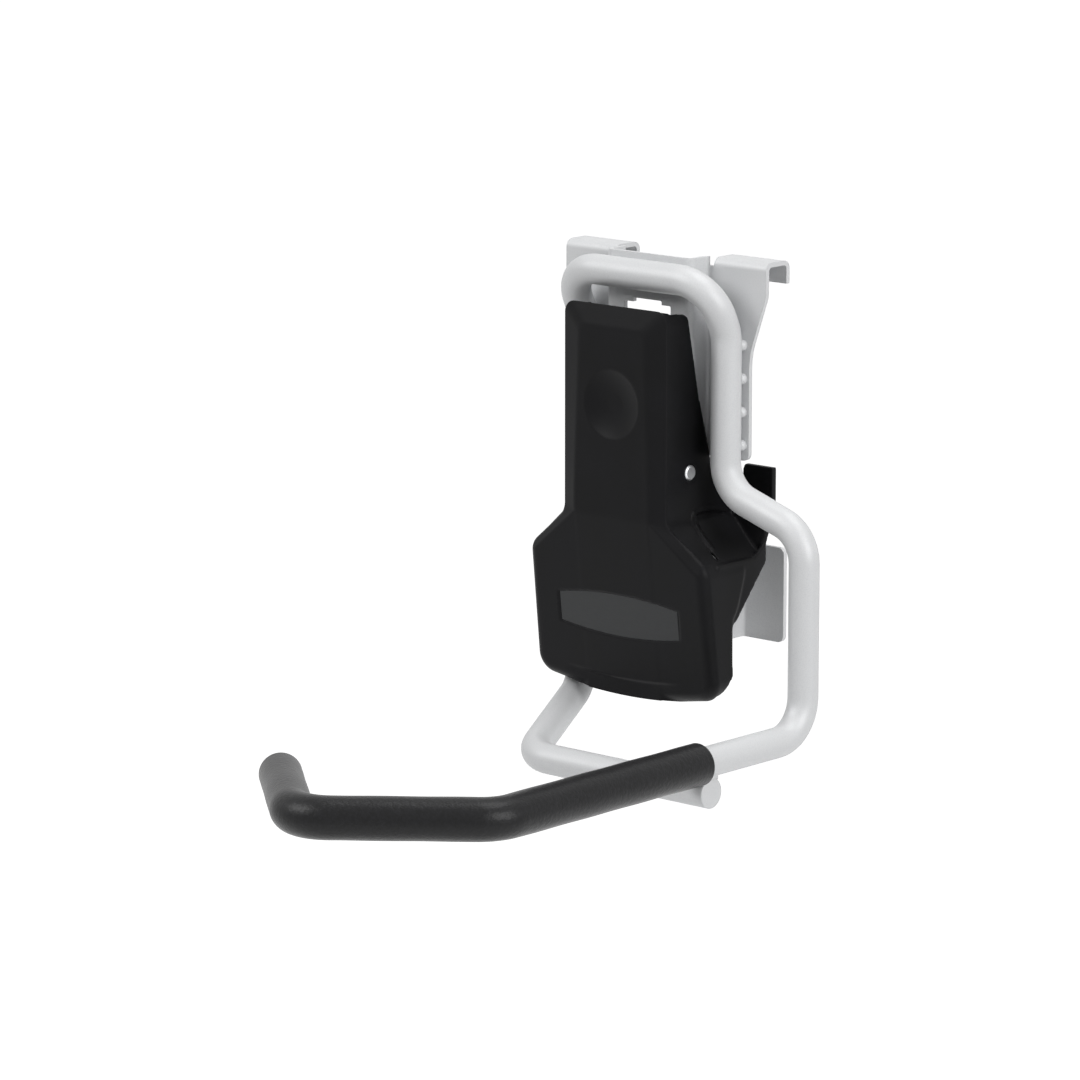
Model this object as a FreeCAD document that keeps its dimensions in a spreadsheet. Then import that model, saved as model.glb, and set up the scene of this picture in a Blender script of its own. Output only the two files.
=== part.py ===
import FreeCAD, Part

import math
import os
import re

import Sketcher

# Bicycle storage hook that clips on a horizontal wall rail. Millimetres.
# +Z is up, +Y points at the wall, X = 0 is the symmetry plane of the bracket.
# Z = 0 is the seat of the two rail hooks, Y = 0 is the face that bears on the front of the rail.

SIZES = {
    # How far a cutting solid runs past what it cuts, and overlaps it where it starts
    "cut_margin": 5.0,
    "cut_overlap": 0.01,
    # Sheet steel and its bends
    "sheet_gauge": 2.0,
    "bend_inner": 1.5,
    # Channel of the bracket: web in front, two side walls, flanges against the rail
    "channel_half": 23.1,
    "web_front": 12.8,
    "bracket_drop": 161.2,
    # Upper flanges: wide under the hooks, tapering to a strip beside the rod legs
    "flange_half": 54.1,
    "strip_half": 45.6,
    "taper_start_drop": 12.0,
    "taper_end_drop": 37.0,
    "taper_start_round": 12.0,
    "taper_end_round": 30.0,
    "strip_drop": 80.7,
    "strip_corner": 3.0,
    # Rail hooks, one at each side of the channel
    "hook_inner": 26.5,
    "hook_gap": 11.1,
    "hook_lip_drop": 7.7,
    "relief_drop": 1.7,
    # Wall pads at the foot of the bracket
    "wall_reach": 25.0,
    "pad_half": 44.4,
    "pad_top_drop": 121.0,
    "gusset_top_drop": 104.0,
    # Window in the web, and the lugs that are bent out of a second window
    "window_half": 12.5,
    "window_neck_half": 7.65,
    "window_neck_drop": 16.9,
    "window_step_drop": 18.6,
    "window_foot_drop": 50.0,
    "window_corner": 1.5,
    "lug_outer": 12.5,
    "lug_reach": 6.3,
    "lug_flat": 0.3,
    "lug_window_top": 13.7,
    "lug_window_foot": 10.3,
    # Bent rod
    "rod_diameter": 12.7,
    "rod_bend": 16.5,
    "leg_half": 38.7,
    "bar_drop": 5.9,
    "shoulder_drop": 27.8,
    "jog_top_drop": 92.2,
    "jog_foot_drop": 106.1,
    "arm_offset": 80.6,
    "arm_drop": 189.3,
    "arm_reach": 193.6,
    "nose_offset": 19.9,
    "nose_reach": 243.1,
    "tip_offset": 33.2,
    "tip_reach": 196.5,
    "leg_foot_drop": 184.5,
    "brace_corner_offset": 15.3,
    "brace_reach": 68.7,
    "brace_overrun": 2.3,
    # Soft sleeve on the arm
    "sleeve_wall": 2.35,
    "sleeve_fit": 0.05,
    "sleeve_gap": 0.9,
    "sleeve_end_cap": 2.4,
    "sleeve_end_round": 3.2,
    # Lever and its face: outline seen from the front
    "face_half": 27.5,
    "face_top_drop": 17.4,
    "face_corner": 5.0,
    "flare_top_drop": 105.5,
    "flare_height": 16.5,
    "flare_half": 47.9,
    "flare_inner_round": 6.5,
    "flare_outer_round": 8.0,
    "skirt_half": 48.8,
    "skirt_height": 55.4,
    "skirt_corner": 9.0,
    "skirt_peak_fall": 7.8,
    "skirt_crown": 222.0,
    # Face and lever: outline seen from the side
    "parting_reach": 32.6,
    "face_rise": 2.9,
    "bevel_width": 8.6,
    "kink_rise": 0.5,
    "face_lip": 0.4,
    "face_lean": 0.12,
    "flare_bevel": 4.9,
    "flare_bevel_fall": 0.7,
    # Thumb dimple
    "dimple_drop": 58.0,
    "dimple_radius": 14.6,
    "dimple_depth": 2.6,
    "boss_wall": 0.9,
    "boss_gap": 0.4,
    # Inlay of the face
    "badge_half": 32.2,
    "badge_end_half": 6.2,
    "badge_peak_half": 11.3,
    "badge_crown": 200.0,
    "badge_drop": 147.3,
    "badge_thickness": 1.0,
    "badge_recess": 0.4,
    "badge_gap": 0.15,
    # Lever body
    "lever_inset": 0.6,
    "lever_wall": 2.4,
    "lever_front_wall": 2.0,
    "lever_top_slope": 1.8,
    "roof_reach": 27.4,
    "lever_rear_top": 18.4,
    "lever_rear_foot": 1.6,
    "lever_rear_corner": 3.0,
    "lever_rear_foot_drop": 100.0,
    "lever_rear_foot_height": 6.0,
    "lever_rear_foot_round": 4.0,
    "lever_rear_bow": 20.0,
    "skirt_rear": 13.4,
    "skirt_rear_top_drop": 112.0,
    "skirt_rear_round": 3.0,
    "skirt_chamfer_drop": 168.0,
    "skirt_chamfer": 5.1,
    # Trough of the shoulder, where a rod leg stands behind the lever
    "trough_inner_reach": 16.2,
    "trough_outer_reach": 20.5,
    "trough_round": 4.0,
    "trough_top_rise": 2.0,
    # Arms from the side walls to the claws, inside the rod legs and under the rail
    "arm_lap": 12.0,
    "arm_top_drop": 90.4,
    "arm_foot_rise": 3.5,
    # Ears and claws behind the rod legs
    "ear_thickness": 1.4,
    "ear_gap": 0.5,
    "ear_lap": 2.0,
    "ear_top_height": 1.0,
    "ear_rise": 6.0,
    "ear_rear": 8.5,
    "ear_rear_height": 7.5,
    "ear_height": 28.0,
    "ear_foot_round": 16.0,
    "ear_round": 4.0,
    "claw_gap": 12.0,
    "claw_thickness": 2.8,
    "claw_half_inner": 31.4,
    "claw_top_drop": 85.2,
    "claw_height": 16.8,
    "ear_web": 3.0,
    "ear_rear_fall": 14.5,
    "claw_corner": 0.8,
    # Shoulder between the flare and the ears
    "shoulder_rear": 6.0,
    "shoulder_round": 9.0,
    "roof_wall": 2.2,
    "roof_front": 18.0,
    "rear_wall": 2.0,
    # Ribs inside the lever that stop it against the web
    "rib_half": 1.0,
    "stop_rib_offset": 9.0,
    "stop_rib_top_drop": 135.0,
    "stop_rib_height": 15.0,
    "stop_gap": 0.3,
    "press_rib_offset": 16.0,
    "press_rib_top_drop": 40.0,
    "press_rib_height": 10.0,
    "press_gap": 10.2,
    # Pivot pin and torsion spring
    "pin_diameter": 6.3,
    "pin_reach": 16.6,
    "pin_drop": 85.7,
    "pin_proud": 0.4,
    "pin_chamfer": 0.6,
    "pin_press_clearance": 0.02,
    "pin_running_clearance": 0.08,
    "spring_wire": 1.6,
    "spring_clearance": 0.95,
    "spring_turns": 5,
    "spring_pitch": 1.85,
    "fixed_leg_length": 19.5,
    "fixed_leg_tilt": 9.0,
    "moving_leg_tilt": 19.5,
    "moving_leg_gap": 0.1,
    # Welds
    "tack_radius": 2.3,
    "tack_count": 4,
    "tack_first_drop": 32.6,
    "tack_pitch": 13.87,
    "tack_share_across": 0.3,
    "tack_share_ahead": 0.08,
    "brace_weld_radius": 4.4,
}

doc = FreeCAD.newDocument("BicycleStorageHook")
sheet = doc.addObject("Spreadsheet::Sheet", "Sizes")
for row, (alias, number) in enumerate(SIZES.items(), start=1):
    sheet.set(f"A{row}", alias)
    sheet.set(f"B{row}", str(number))
    sheet.setAlias(f"B{row}", alias)
doc.recompute()


def bound(formula):
    """The formula with each alias written as a cell of the sheet."""
    return re.sub(r"[a-z_]+", lambda word: f"Sizes.{word[0]}" if word[0] in SIZES else word[0], formula)


def value(formula):
    """The number that a formula of the sheet's aliases gives."""
    return float(sheet.evalExpression(bound(formula)))


def bind(item, path, formula):
    item.setExpression(path, bound(formula))


def pin_coordinate(sketch, kind, geometry, position, formula):
    """Ties one coordinate of a sketch point to a formula, or to the axis where the coordinate is zero."""
    if formula == "0":
        axis = -2 if kind == "DistanceX" else -1
        sketch.addConstraint(Sketcher.Constraint("PointOnObject", geometry, position, axis))
        return
    index = sketch.addConstraint(Sketcher.Constraint(kind, geometry, position, value(formula)))
    bind(sketch, f"Constraints[{index}]", formula)


def draw_outline(sketch, corners):
    """Closed outline through corners (x, y); a third formula is the radius of a rounded corner."""
    spots = [FreeCAD.Vector(value(corner[0]), value(corner[1]), 0) for corner in corners]
    rounds = [value(corner[2]) if len(corner) > 2 else 0.0 for corner in corners]
    count = len(corners)
    entries, leaves, centres, lefts = [], [], [], []
    for i, spot in enumerate(spots):
        before = (spots[i - 1] - spot).normalize()
        after = (spots[(i + 1) % count] - spot).normalize()
        half_angle = before.getAngle(after) / 2
        setback = rounds[i] / math.tan(half_angle) if rounds[i] else 0.0
        entries.append(spot + before * setback)
        leaves.append(spot + after * setback)
        bisector = (before + after).normalize() if rounds[i] else FreeCAD.Vector()
        centres.append(spot + bisector * (rounds[i] / math.sin(half_angle)))
        lefts.append(before.x * after.y - before.y * after.x < 0)
    lines = []
    for i in range(count):
        lines.append(sketch.addGeometry(Part.LineSegment(leaves[i], entries[(i + 1) % count]), False))
    for i, corner in enumerate(corners):
        incoming, outgoing = lines[i - 1], lines[i]
        if not rounds[i]:
            sketch.addConstraint(Sketcher.Constraint("Coincident", incoming, 2, outgoing, 1))
            pin_coordinate(sketch, "DistanceX", outgoing, 1, corner[0])
            pin_coordinate(sketch, "DistanceY", outgoing, 1, corner[1])
            continue
        first, last = (entries[i], leaves[i]) if lefts[i] else (leaves[i], entries[i])
        start = math.atan2(first.y - centres[i].y, first.x - centres[i].x)
        end = math.atan2(last.y - centres[i].y, last.x - centres[i].x)
        circle = Part.Circle(centres[i], FreeCAD.Vector(0, 0, 1), rounds[i])
        arc = sketch.addGeometry(Part.ArcOfCircle(circle, start, end), False)
        spot = sketch.addGeometry(Part.Point(spots[i]), True)
        pin_coordinate(sketch, "DistanceX", spot, 1, corner[0])
        pin_coordinate(sketch, "DistanceY", spot, 1, corner[1])
        sketch.addConstraint(Sketcher.Constraint("PointOnObject", spot, 1, incoming))
        sketch.addConstraint(Sketcher.Constraint("PointOnObject", spot, 1, outgoing))
        entry_end, leave_end = (1, 2) if lefts[i] else (2, 1)
        sketch.addConstraint(Sketcher.Constraint("Tangent", incoming, 2, arc, entry_end))
        sketch.addConstraint(Sketcher.Constraint("Tangent", arc, leave_end, outgoing, 1))
        index = sketch.addConstraint(Sketcher.Constraint("Radius", arc, rounds[i]))
        bind(sketch, f"Constraints[{index}]", corner[2])


def draw_circle(sketch, across, along, radius):
    """Circle of a bound radius about a bound centre."""
    centre = FreeCAD.Vector(value(across), value(along), 0)
    circle = sketch.addGeometry(Part.Circle(centre, FreeCAD.Vector(0, 0, 1), value(radius)), False)
    pin_coordinate(sketch, "DistanceX", circle, 3, across)
    pin_coordinate(sketch, "DistanceY", circle, 3, along)
    index = sketch.addConstraint(Sketcher.Constraint("Radius", circle, value(radius)))
    bind(sketch, f"Constraints[{index}]", radius)


# Each drawing plane: its role in a body, and the turn that lays a free sketch on it.
# A sketch on XZ faces -Y, one on YZ faces +X and one on XY faces +Z.
TURNS = {
    "XY": FreeCAD.Rotation(),
    "XZ": FreeCAD.Rotation(FreeCAD.Vector(1, 0, 0), 90),
    "YZ": FreeCAD.Rotation(FreeCAD.Vector(1, 1, 1), 120),
}
NORMALS = {"XY": ("z", 1), "XZ": ("y", -1), "YZ": ("x", 1)}


def mirrored_corners(corners):
    """The same outline on the other side of the symmetry plane, in the opposite order."""
    flipped = []
    for corner in reversed(corners):
        across = "0" if corner[0] == "0" else f"-({corner[0]})"
        flipped.append((across,) + tuple(corner[1:]))
    return flipped


# Bodies of sketched features

def new_body(name):
    body = doc.addObject("PartDesign::Body", name)
    body.Label = name
    doc.recompute()
    return body


def body_sketch(body, name, plane, level):
    """Sketch on an origin plane of the body, moved along the plane's normal to the level."""
    sketch = body.newObject("Sketcher::SketchObject", name)
    role = f"{plane}_Plane"
    support = [feature for feature in body.Origin.OriginFeatures if feature.Role == role][0]
    sketch.AttachmentSupport = (support, [""])
    sketch.MapMode = "FlatFace"
    sign = NORMALS[plane][1]
    bind(sketch, "AttachmentOffset.Base.z", level if sign > 0 else f"-({level})")
    return sketch


def add_pad(body, name, plane, level, length, corners):
    """Pads an outline from the level along the plane's normal."""
    sketch = body_sketch(body, f"{name}_outline", plane, level)
    draw_outline(sketch, corners)
    pad = body.newObject("PartDesign::Pad", name)
    pad.Profile = sketch
    bind(pad, "Length", length)
    doc.recompute()
    return pad


def add_pocket(body, name, plane, level, length, corners=None, circle=None):
    """Cuts an outline or a circle from the level along the plane's normal."""
    sketch = body_sketch(body, f"{name}_outline", plane, level)
    if corners:
        draw_outline(sketch, corners)
    else:
        draw_circle(sketch, *circle)
    pocket = body.newObject("PartDesign::Pocket", name)
    pocket.Profile = sketch
    pocket.Reversed = True
    bind(pocket, "Length", length)
    volume = body.Shape.Volume
    doc.recompute()
    if not body.Shape.Volume < volume:
        raise ValueError(f"{name} cuts nothing")
    return pocket


# Free solids for boolean construction

def prism(name, plane, level, length, corners):
    """Solid with the given outline, from the level along the plane's normal."""
    sketch = doc.addObject("Sketcher::SketchObject", f"{name}_outline")
    axis, _ = NORMALS[plane]
    sketch.Placement = FreeCAD.Placement(FreeCAD.Vector(), TURNS[plane])
    bind(sketch, f"Placement.Base.{axis}", level)
    draw_outline(sketch, corners)
    solid = doc.addObject("Part::Extrusion", name)
    solid.Base = sketch
    solid.DirMode = "Normal"
    solid.Solid = True
    bind(solid, "LengthFwd", length)
    doc.recompute()
    return solid


def slanted_prism(name, level, corners, direction):
    """Solid drawn out of a level outline along a slanting line, given as three formulas."""
    sketch = doc.addObject("Sketcher::SketchObject", f"{name}_outline")
    bind(sketch, "Placement.Base.z", level)
    draw_outline(sketch, corners)
    solid = doc.addObject("Part::Extrusion", name)
    solid.Base = sketch
    solid.DirMode = "Custom"
    solid.Solid = True
    for axis, formula in zip("xyz", direction):
        bind(solid, f"Dir.{axis}", formula)
    bind(solid, "LengthFwd", "0")
    doc.recompute()
    return solid


def mirror(name, source):
    """The same solid on the other side of the symmetry plane."""
    copy = doc.addObject("Part::Mirroring", name)
    copy.Source = source
    copy.Normal = FreeCAD.Vector(1, 0, 0)
    copy.Base = FreeCAD.Vector(0, 0, 0)
    return copy


def combine(kind, name, parts):
    result = doc.addObject(kind, name)
    result.Shapes = parts
    doc.recompute()
    return result


def cut(name, base, tool):
    result = doc.addObject("Part::Cut", name)
    result.Base = base
    result.Tool = tool
    doc.recompute()
    return result


def cross_cylinder(name, radius, half_length, reach, drop):
    """Cylinder along X about the symmetry plane."""
    cylinder = doc.addObject("Part::Cylinder", name)
    cylinder.Placement.Rotation = FreeCAD.Rotation(FreeCAD.Vector(0, 1, 0), 90)
    bind(cylinder, "Radius", radius)
    bind(cylinder, "Height", f"2*({half_length})")
    bind(cylinder, "Placement.Base.x", f"-({half_length})")
    bind(cylinder, "Placement.Base.y", f"-({reach})")
    bind(cylinder, "Placement.Base.z", f"-({drop})")
    return cylinder


def box(name, low, size):
    """Box from its lowest corner and its three sides, all formulas."""
    block = doc.addObject("Part::Box", name)
    for axis, formula in zip("xyz", low):
        bind(block, f"Placement.Base.{axis}", formula)
    for side, formula in zip(("Length", "Width", "Height"), size):
        bind(block, side, formula)
    return block


# Folded sheet bracket

def hat_section(front, back, flange):
    """Section of the channel with flanges that lie between two depths, bends rounded inside and out."""
    outer = "bend_inner+sheet_gauge"
    right = [
        ("0", f"-({front})"),
        ("channel_half", f"-({front})", outer),
        ("channel_half", f"{back}-sheet_gauge", "bend_inner"),
        (flange, f"{back}-sheet_gauge"),
        (flange, back),
        ("channel_half-sheet_gauge", back, outer),
        ("channel_half-sheet_gauge", f"-({front})+sheet_gauge", "bend_inner"),
        ("0", f"-({front})+sheet_gauge"),
    ]
    return right


def symmetric(right):
    """Closed outline from the right half of it, whose first and last corners lie on the symmetry line."""
    inner = right[1:-1]
    return inner + mirrored_corners(inner)


def channel_section():
    """Section of the channel alone, from the web to the rail face."""
    right = [
        ("0", "-web_front"),
        ("channel_half", "-web_front", "bend_inner+sheet_gauge"),
        ("channel_half", "0"),
        ("channel_half-sheet_gauge", "0"),
        ("channel_half-sheet_gauge", "-web_front+sheet_gauge", "bend_inner"),
        ("0", "-web_front+sheet_gauge"),
    ]
    return symmetric(right)


def make_bracket():
    """One sheet: channel, flanges, two hooks over the rail, two pads on the wall, pin lugs."""
    body = new_body("rail_bracket")
    add_pad(body, "channel", "XY", "-pad_top_drop", "pad_top_drop-strip_drop", channel_section())
    add_pad(body, "upper_hat", "XY", "-strip_drop", "strip_drop+sheet_gauge",
            symmetric(hat_section("web_front", "0", "flange_half")))
    add_pad(body, "lower_hat", "XY", "-bracket_drop", "bracket_drop-pad_top_drop",
            symmetric(hat_section("web_front", "wall_reach", "pad_half")))
    gusset = [
        ("0", "-gusset_top_drop"),
        ("0", "-pad_top_drop"),
        ("wall_reach", "-pad_top_drop"),
    ]
    add_pad(body, "right_gusset", "YZ", "channel_half-sheet_gauge", "sheet_gauge", gusset)
    add_pad(body, "left_gusset", "YZ", "-channel_half", "sheet_gauge", gusset)

    # Flanges: open above the relief, tapered to the strip, rounded at the foot
    past = "flange_half+cut_margin"
    above_relief = [
        ("channel_half", "-relief_drop"),
        (past, "-relief_drop"),
        (past, "cut_margin"),
        ("channel_half", "cut_margin"),
    ]
    beside_taper = [
        ("flange_half", "cut_margin"),
        ("flange_half", "-taper_start_drop", "taper_start_round"),
        ("strip_half", "-taper_end_drop", "taper_end_round"),
        ("strip_half", "-strip_drop", "strip_corner"),
        ("strip_half-2*strip_corner", "-strip_drop"),
        ("strip_half-2*strip_corner", "-strip_drop-cut_margin"),
        (past, "-strip_drop-cut_margin"),
        (past, "cut_margin"),
    ]
    beside_pad = [
        ("pad_half-2*strip_corner", "-bracket_drop-cut_margin"),
        ("pad_half-2*strip_corner", "-bracket_drop"),
        ("pad_half", "-bracket_drop", "strip_corner"),
        ("pad_half", "-pad_top_drop", "strip_corner"),
        ("pad_half-2*strip_corner", "-pad_top_drop"),
        ("pad_half-2*strip_corner", "-pad_top_drop+cut_margin"),
        ("pad_half+cut_margin", "-pad_top_drop+cut_margin"),
        ("pad_half+cut_margin", "-bracket_drop-cut_margin"),
    ]
    through = "sheet_gauge+2*cut_overlap"
    for side, turn in (("right", list), ("left", mirrored_corners)):
        add_pocket(body, f"{side}_relief", "XZ", "cut_overlap", through, turn(above_relief))
        add_pocket(body, f"{side}_taper", "XZ", "cut_overlap", through, turn(beside_taper))
        add_pocket(body, f"{side}_pad_corners", "XZ", "wall_reach+cut_overlap", through, turn(beside_pad))

    # Hooks: flange, bend, top, bend, lip
    outer = "bend_inner+sheet_gauge"
    hook = [
        ("-sheet_gauge", "-hook_lip_drop"),
        ("0", "-hook_lip_drop"),
        ("0", "0", "bend_inner"),
        ("hook_gap", "0", "bend_inner"),
        ("hook_gap", "-hook_lip_drop"),
        ("hook_gap+sheet_gauge", "-hook_lip_drop"),
        ("hook_gap+sheet_gauge", "sheet_gauge", outer),
        ("-sheet_gauge", "sheet_gauge", outer),
    ]
    add_pad(body, "right_hook", "YZ", "hook_inner", "flange_half-hook_inner", hook)
    add_pad(body, "left_hook", "YZ", "-flange_half", "flange_half-hook_inner", hook)

    # Windows of the web and the lugs bent out of the lower one
    window = [
        ("window_neck_half", "-window_neck_drop", "window_corner/2"),
        ("window_neck_half", "-window_step_drop"),
        ("window_half", "-window_step_drop", "window_corner/2"),
        ("window_half", "-window_foot_drop", "window_corner"),
    ]
    lug_window = [
        ("lug_outer", "-pin_drop+lug_window_top"),
        ("lug_outer", "-pin_drop-lug_window_foot"),
    ]
    for name, right in (("window", window), ("lug_window", lug_window)):
        add_pocket(body, name, "XZ", "-web_front+sheet_gauge+cut_overlap", through,
                   right + mirrored_corners(right))
    lug = [
        ("-web_front+sheet_gauge", "-pin_drop-lug_reach"),
        ("-web_front+sheet_gauge", "-pin_drop+lug_reach"),
        ("-pin_reach-lug_reach", "-pin_drop+lug_reach", "lug_reach-lug_flat"),
        ("-pin_reach-lug_reach", "-pin_drop-lug_reach", "lug_reach-lug_flat"),
    ]
    add_pad(body, "right_lug", "YZ", "lug_outer-sheet_gauge", "sheet_gauge+bend_inner/2", lug)
    add_pad(body, "left_lug", "YZ", "-lug_outer-bend_inner/2", "sheet_gauge+bend_inner/2", lug)
    pin_bore = ("-pin_reach", "-pin_drop", "pin_diameter/2+pin_running_clearance")
    add_pocket(body, "pin_bores", "YZ", "-lug_outer-cut_margin", "2*(lug_outer+cut_margin)", circle=pin_bore)
    return body


# Bent rod and what is on it

def vector(*formulas):
    return FreeCAD.Vector(*(value(formula) for formula in formulas))


def bent_path(corners, bend):
    """Wire of straight runs joined by tangent arcs of one radius."""
    edges = []
    here = corners[0]
    for before, corner, after in zip(corners, corners[1:], corners[2:]):
        back = (before - corner).normalize()
        ahead = (after - corner).normalize()
        half_angle = back.getAngle(ahead) / 2
        setback = bend / math.tan(half_angle)
        start = corner + back * setback
        end = corner + ahead * setback
        centre = corner + (back + ahead).normalize() * (bend / math.sin(half_angle))
        middle = centre + (corner - centre).normalize() * bend
        edges.append(Part.LineSegment(here, start).toShape())
        edges.append(Part.Arc(start, middle, end).toShape())
        here = end
    edges.append(Part.LineSegment(here, corners[-1]).toShape())
    return Part.Wire(edges)


def round_bar(path, radius):
    """Solid round bar swept along a path, square at both ends."""
    first = path.OrderedEdges[0]
    start = first.valueAt(first.FirstParameter)
    heading = first.tangentAt(first.FirstParameter)
    ring = Part.Wire(Part.Circle(start, heading, radius).toShape())
    return path.makePipeShell([ring], True, False)


def shaped(name, shape):
    """Node whose shape comes from the sheet's sizes by the functions above."""
    node = doc.addObject("Part::Feature", name)
    node.Label = name
    node.Shape = shape
    return node


leg_reach = "sheet_gauge+rod_diameter/2"
bar_reach = "web_front+rod_diameter/2"
brace_drop = "arm_drop+rod_diameter"


def rod_corners():
    """Corners of the rod from the end of the brace, round the loop, to the tip of the arm."""
    return [
        vector("arm_offset+brace_overrun", "-brace_reach", f"-({brace_drop})"),
        vector("-brace_corner_offset", "-brace_reach", f"-({brace_drop})"),
        vector("-leg_half", f"-({leg_reach})", "-leg_foot_drop"),
        vector("-leg_half", f"-({leg_reach})", "-shoulder_drop"),
        vector("-leg_half", f"-({bar_reach})", "-bar_drop"),
        vector("leg_half", f"-({bar_reach})", "-bar_drop"),
        vector("leg_half", f"-({leg_reach})", "-shoulder_drop"),
        vector("leg_half", f"-({leg_reach})", "-jog_top_drop"),
        vector("arm_offset", f"-({leg_reach})", "-jog_foot_drop"),
        vector("arm_offset", f"-({leg_reach})", "-arm_drop"),
        vector("arm_offset", "-arm_reach", "-arm_drop"),
        vector("nose_offset", "-nose_reach", "-arm_drop"),
        vector("-tip_offset", "-tip_reach", "-arm_drop"),
    ]


def make_rod():
    """One round bar: brace, left leg, top bar, right leg with its jog, and the arm."""
    return shaped("hook_rod", round_bar(bent_path(rod_corners(), value("rod_bend")), value("rod_diameter/2")))


def make_sleeve():
    """Soft tube over the arm, closed and rounded past the end of the rod."""
    corners = rod_corners()[9:]
    corners[0] = vector("arm_offset", "-brace_reach-brace_weld_radius-sleeve_gap", "-arm_drop")
    heading = (corners[-1] - corners[-2]).normalize()
    outer_radius = value("rod_diameter/2+sleeve_fit+sleeve_wall")
    bore_radius = value("rod_diameter/2+sleeve_fit")
    bore_end = corners[-1] + heading * value("sleeve_fit")
    outer_end = bore_end + heading * value("sleeve_end_cap")
    outside = round_bar(bent_path(corners[:-1] + [outer_end], value("rod_bend")), outer_radius)
    rims = []
    for edge in outside.Edges:
        if edge.BoundBox.Center.distanceToPoint(outer_end) < value("sleeve_fit+cut_overlap"):
            if edge.isClosed():
                rims.append(edge)
    outside = outside.makeFillet(value("sleeve_end_round"), rims)
    start = corners[0] + FreeCAD.Vector(0, value("cut_margin"), 0)
    bore = round_bar(bent_path([start] + corners[1:-1] + [bore_end], value("rod_bend")), bore_radius)
    return shaped("grip_sleeve", outside.cut(bore))


def make_brace_weld():
    """Weld that fills the crevice between the arm and the brace that crosses under it."""
    crossing = vector("arm_offset", "-brace_reach", "-arm_drop-rod_diameter/2")
    bead = Part.makeSphere(value("brace_weld_radius"), crossing)
    radius = value("rod_diameter/2")
    length = value("4*rod_diameter")
    arm = Part.makeCylinder(radius, length, crossing + vector("0", "-2*rod_diameter", "rod_diameter/2"),
                            FreeCAD.Vector(0, 1, 0))
    brace = Part.makeCylinder(radius, length, crossing + vector("-2*rod_diameter", "0", "-rod_diameter/2"),
                              FreeCAD.Vector(1, 0, 0))
    return shaped("brace_weld", bead.cut(arm).cut(brace))


def make_tacks():
    """Short welds in the crevice between each rod leg and its flange, on the outer side."""
    beads = []
    for number in range(int(value("tack_count"))):
        bead = doc.addObject("Part::Sphere", "tack_bead")
        bind(bead, "Radius", "tack_radius")
        bind(bead, "Placement.Base.x", "leg_half+rod_diameter*tack_share_across")
        bind(bead, "Placement.Base.y", "-sheet_gauge-rod_diameter*tack_share_ahead")
        bind(bead, "Placement.Base.z", f"-(tack_first_drop+{number}*tack_pitch)")
        beads.append(bead)
    leg = doc.addObject("Part::Cylinder", "tack_leg")
    bind(leg, "Radius", "rod_diameter/2")
    bind(leg, "Height", "jog_foot_drop")
    bind(leg, "Placement.Base.x", "leg_half")
    bind(leg, "Placement.Base.y", f"-({leg_reach})")
    bind(leg, "Placement.Base.z", "-jog_foot_drop")
    behind = box("tack_behind", ("0", "-sheet_gauge", "-bracket_drop"),
                 ("2*flange_half", "wall_reach", "bracket_drop"))
    right = cut("right_tacks", combine("Part::MultiFuse", "tack_beads", beads),
                combine("Part::MultiFuse", "tack_tools", [leg, behind]))
    tacks = combine("Part::MultiFuse", "weld_tacks", [right, mirror("left_tacks", right)])
    tacks.Label = "weld_tacks"
    return tacks


# Lever, its face and the inlay

flare_turn = "(((flare_half-face_half)^2+flare_height^2)^0.5-flare_height)/(flare_half-face_half)"
flare_foot_drop = "(flare_top_drop+flare_height)"
skirt_corner_drop = f"({flare_foot_drop}+skirt_height)"
skirt_peak_drop = f"({skirt_corner_drop}+skirt_peak_fall)"
skirt_slope = "skirt_peak_fall/skirt_half"
kink_drop = "flare_top_drop-kink_rise"


def front_outline(inset, top):
    """Face outline set in by a margin: narrow head, flared foot with a crowned lower edge."""
    flare_shift = f"({inset})*{flare_turn}"
    bottom = f"-({skirt_peak_drop}-(skirt_half-({inset}))*{skirt_slope}-({inset}))"
    right = [
        (f"face_half-({inset})", f"-({top})-({inset})", "face_corner"),
        (f"face_half-({inset})", f"-flare_top_drop-{flare_shift}", "flare_inner_round"),
        (f"flare_half-({inset})", f"-{flare_foot_drop}-{flare_shift}", "flare_outer_round"),
        (f"skirt_half-({inset})", bottom, "skirt_corner"),
    ]
    peak = ("0", f"-{skirt_peak_drop}+({inset})", "skirt_crown")
    return right + [peak] + mirrored_corners(right)


# Depth in front of the rail face of the parting line at a given drop below the kink
def leaning(reach, drop):
    return f"-({reach})+face_lean*(({drop})-({kink_drop}))"


far_drop = f"{skirt_peak_drop}+2*cut_margin"


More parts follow.
